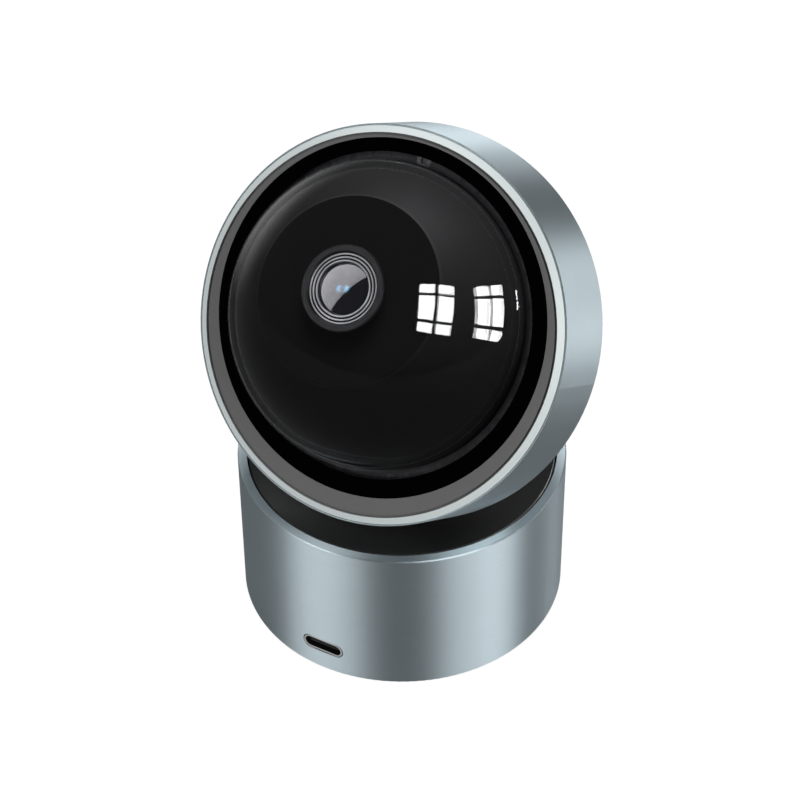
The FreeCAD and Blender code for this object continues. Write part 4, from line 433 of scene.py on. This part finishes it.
corners = [(FLOOR_HALF * x, FLOOR_HALF * y, 0.0) for x, y in ((-1, -1), (1, -1), (1, 1), (-1, 1))]
floor_mesh = bpy.data.meshes.new("floor")
floor_mesh.from_pydata(corners, [], [(0, 1, 2, 3)])
floor = bpy.data.objects.new("floor", floor_mesh)
bpy.context.scene.collection.objects.link(floor)
paint = Paint("floor", FLOOR_COLOUR, metallic=0.0, roughness=0.9, Specular_IOR_Level=0.0)
seen, glossy = paint.rays()
paint.main.inputs["Emission Color"].default_value = (*WHITE, 1.0)
paint.feed(paint.main.inputs["Emission Strength"],
           paint.maths("ADD", paint.maths("MULTIPLY", seen, FLOOR_SEEN),
                       paint.maths("MULTIPLY", glossy, FLOOR_GLOSSY)))
floor.data.materials.append(paint.material)

world = bpy.data.worlds.new("studio")
bpy.context.scene.world = world
world.use_nodes = True
sky = Nodes(world.node_tree)
seen, glossy = sky.rays()
background = sky.tree.nodes["Background"]
background.inputs["Color"].default_value = (*WHITE, 1.0)
sky.feed(background.inputs["Strength"],
         sky.maths("ADD", sky.maths("MULTIPLY", seen, 1.0 - WORLD_DIFFUSE),
                   sky.spread(glossy, WORLD_DIFFUSE, WORLD_GLOSSY)))


# Lamps

CAMERA_SIDE = math.degrees(math.atan2(EYE.x, -EYE.y))
LAMP_AIM = Vector((0.0, 0.0, 0.055))
LAMP_REACH = 1.02
BLUE_GLOW = (0.22, 0.65, 1.0)


def panel(name, side, rise, size, radiance, pieces, aim=LAMP_AIM, reach=LAMP_REACH, roll=0.0,
          colour=WHITE):
    """A soft area lamp that faces a point and lights some pieces and no others.

    Side and rise are its direction in degrees, to the right of the camera and up. The camera sees
    it only in reflections."""
    width, tall = size
    lamp = bpy.data.lights.new(name, "AREA")
    lamp.shape = "RECTANGLE"
    lamp.size = width
    lamp.size_y = tall
    lamp.energy = radiance * math.pi * width * tall
    lamp.color = colour
    made = bpy.data.objects.new(name, lamp)
    turn, lift = math.radians(CAMERA_SIDE + side), math.radians(rise)
    back = Vector((math.cos(lift) * math.sin(turn), -math.cos(lift) * math.cos(turn), math.sin(lift)))
    facing = Quaternion(back, math.radians(roll)) @ back.to_track_quat("Z", "Y")
    made.matrix_world = Matrix.Translation(aim + reach * back) @ facing.to_matrix().to_4x4()
    made.visible_camera = False
    bpy.context.scene.collection.objects.link(made)
    lit = bpy.data.collections.new(name + "_reaches")
    for piece in pieces:
        lit.objects.link(piece)
    made.light_linking.receiver_collection = lit
    return lamp


def shade(lamp, pattern):
    """The lamp's light varies over its face: pattern gets the nodes and both coordinates."""
    lamp.use_nodes = True
    made = Nodes(lamp.node_tree)
    split = made.node("ShaderNodeSeparateXYZ")
    made.feed(split.inputs[0], made.node("ShaderNodeNewGeometry").outputs["Parametric"])
    strength = lamp.node_tree.nodes["Emission"].inputs["Strength"]
    made.feed(strength, pattern(made, split.outputs[0], split.outputs[1]))


def bars(columns, rows):
    """Dark bars across a lamp's face, each given by its middle and half its width."""
    def pattern(made, u, v):
        value = 1.0
        for coordinate, lines in ((u, columns), (v, rows)):
            for middle, half in lines:
                off = made.maths("ABSOLUTE", made.maths("SUBTRACT", coordinate, middle))
                value = made.maths("MULTIPLY", value, made.maths("GREATER_THAN", off, half))
        return value
    return pattern


def soft_edges(made, u, v):
    """Full in the middle of a lamp's face and nothing at its edges."""
    value = 1.0
    for coordinate in (u, v):
        off = made.maths("ABSOLUTE", made.maths("SUBTRACT", coordinate, 0.5))
        value = made.maths("MULTIPLY", value, made.spread(off, 1.0, 0.0, (0.15, 0.5)))
    return value


def half_to_full(made, u, v):
    """Half the light at one edge of a lamp's face and all of it at the other."""
    return made.spread(v, 0.5, 1.0)


dome = [nodes["dome_cover"]]
lens = [nodes["front_lens_element"]]
left_out = ("dome_cover", "window_ring", "lens_shroud", "front_lens_element")
solid = [piece for name, piece in nodes.items() if name not in left_out] + [floor]

# Soft boxes: degrees to the right of the camera, degrees up, radiance
SOFTBOX_SIZE = (0.5, 0.42)
SOFTBOX_REACH = 1.2
SOFTBOXES = (
    (-60.0, 12.0, 3.7), (-60.0, 50.0, 5.1), (-36.0, 12.0, 3.0),
    (36.0, 12.0, 1.8), (36.0, 30.0, 3.8), (60.0, 12.0, 4.3), (60.0, 30.0, 3.2),
    (108.0, 12.0, 2.0), (156.0, 30.0, 1.2), (180.0, 50.0, 5.6), (-132.0, 50.0, 0.9),
)
for number, (side, rise, radiance) in enumerate(SOFTBOXES, start=1):
    panel(f"softbox_{number:02d}", side, rise, SOFTBOX_SIZE, radiance, solid, reach=SOFTBOX_REACH)
panel("shroud_top", side=150.0, rise=73.0, size=(0.6, 0.6), radiance=17.0,
      pieces=[nodes["lens_shroud"]])
panel("dish_side", side=140.0, rise=31.0, size=(0.5, 0.5), radiance=16.0,
      pieces=[nodes["turret_dish"]])

# Panels with dark bars that only the dome shows: direction, roll, size and the bars
WINDOW_RADIANCE = 45.0
ONE_COLUMN = ((0.5, 0.06),)
TWO_ROWS = ((0.235, 0.035), (0.79, 0.03))
SMALL_BAR = ((0.5, 0.05),)
WINDOWS = (
    (37.7, 36.5, -29.5, (0.43, 0.58), ONE_COLUMN, TWO_ROWS),
    (74.7, 12.5, -40.0, (0.39, 0.55), ONE_COLUMN, TWO_ROWS),
    (99.8, -1.0, -46.0, (0.17, 0.16), SMALL_BAR, SMALL_BAR),
)
for number, (side, rise, roll, size, columns, rows) in enumerate(WINDOWS, start=1):
    lamp = panel(f"barred_panel_{number}", side, rise, size, WINDOW_RADIANCE, dome, DOME_MIDDLE,
                 roll=roll)
    shade(lamp, bars(columns, rows))

# A faint lamp close to the dome, on its far side
lamp = panel("dome_back", side=-155.0, rise=-3.0, size=(0.2, 0.12), radiance=0.85, pieces=dome,
             aim=DOME_MIDDLE, reach=0.15)
shade(lamp, soft_edges)

# The lens shows a bright half and two bluish spots
LENS_SIDE, LENS_RISE = -91.0, 42.5
SPOTS = ((-68.0, 41.0), (-56.5, 47.5))
lamp = panel("lens_panel", LENS_SIDE, LENS_RISE, size=(2.0, 1.04), radiance=11.0, pieces=lens,
             aim=LENS_FRONT, roll=103.0)
shade(lamp, half_to_full)
panel("ring_panel", LENS_SIDE, LENS_RISE, size=(1.2, 1.04), radiance=0.8,
      pieces=[nodes["lens_trim_rings"]], aim=LENS_FRONT)
for number, (side, rise) in enumerate(SPOTS, start=1):
    lamp = panel(f"lens_spot_{number}", side, rise, size=(0.2, 0.2), radiance=15.0, pieces=lens,
                 aim=DOME_MIDDLE, colour=BLUE_GLOW)
    shade(lamp, soft_edges)

bpy.context.scene.view_settings.view_transform = "Standard"
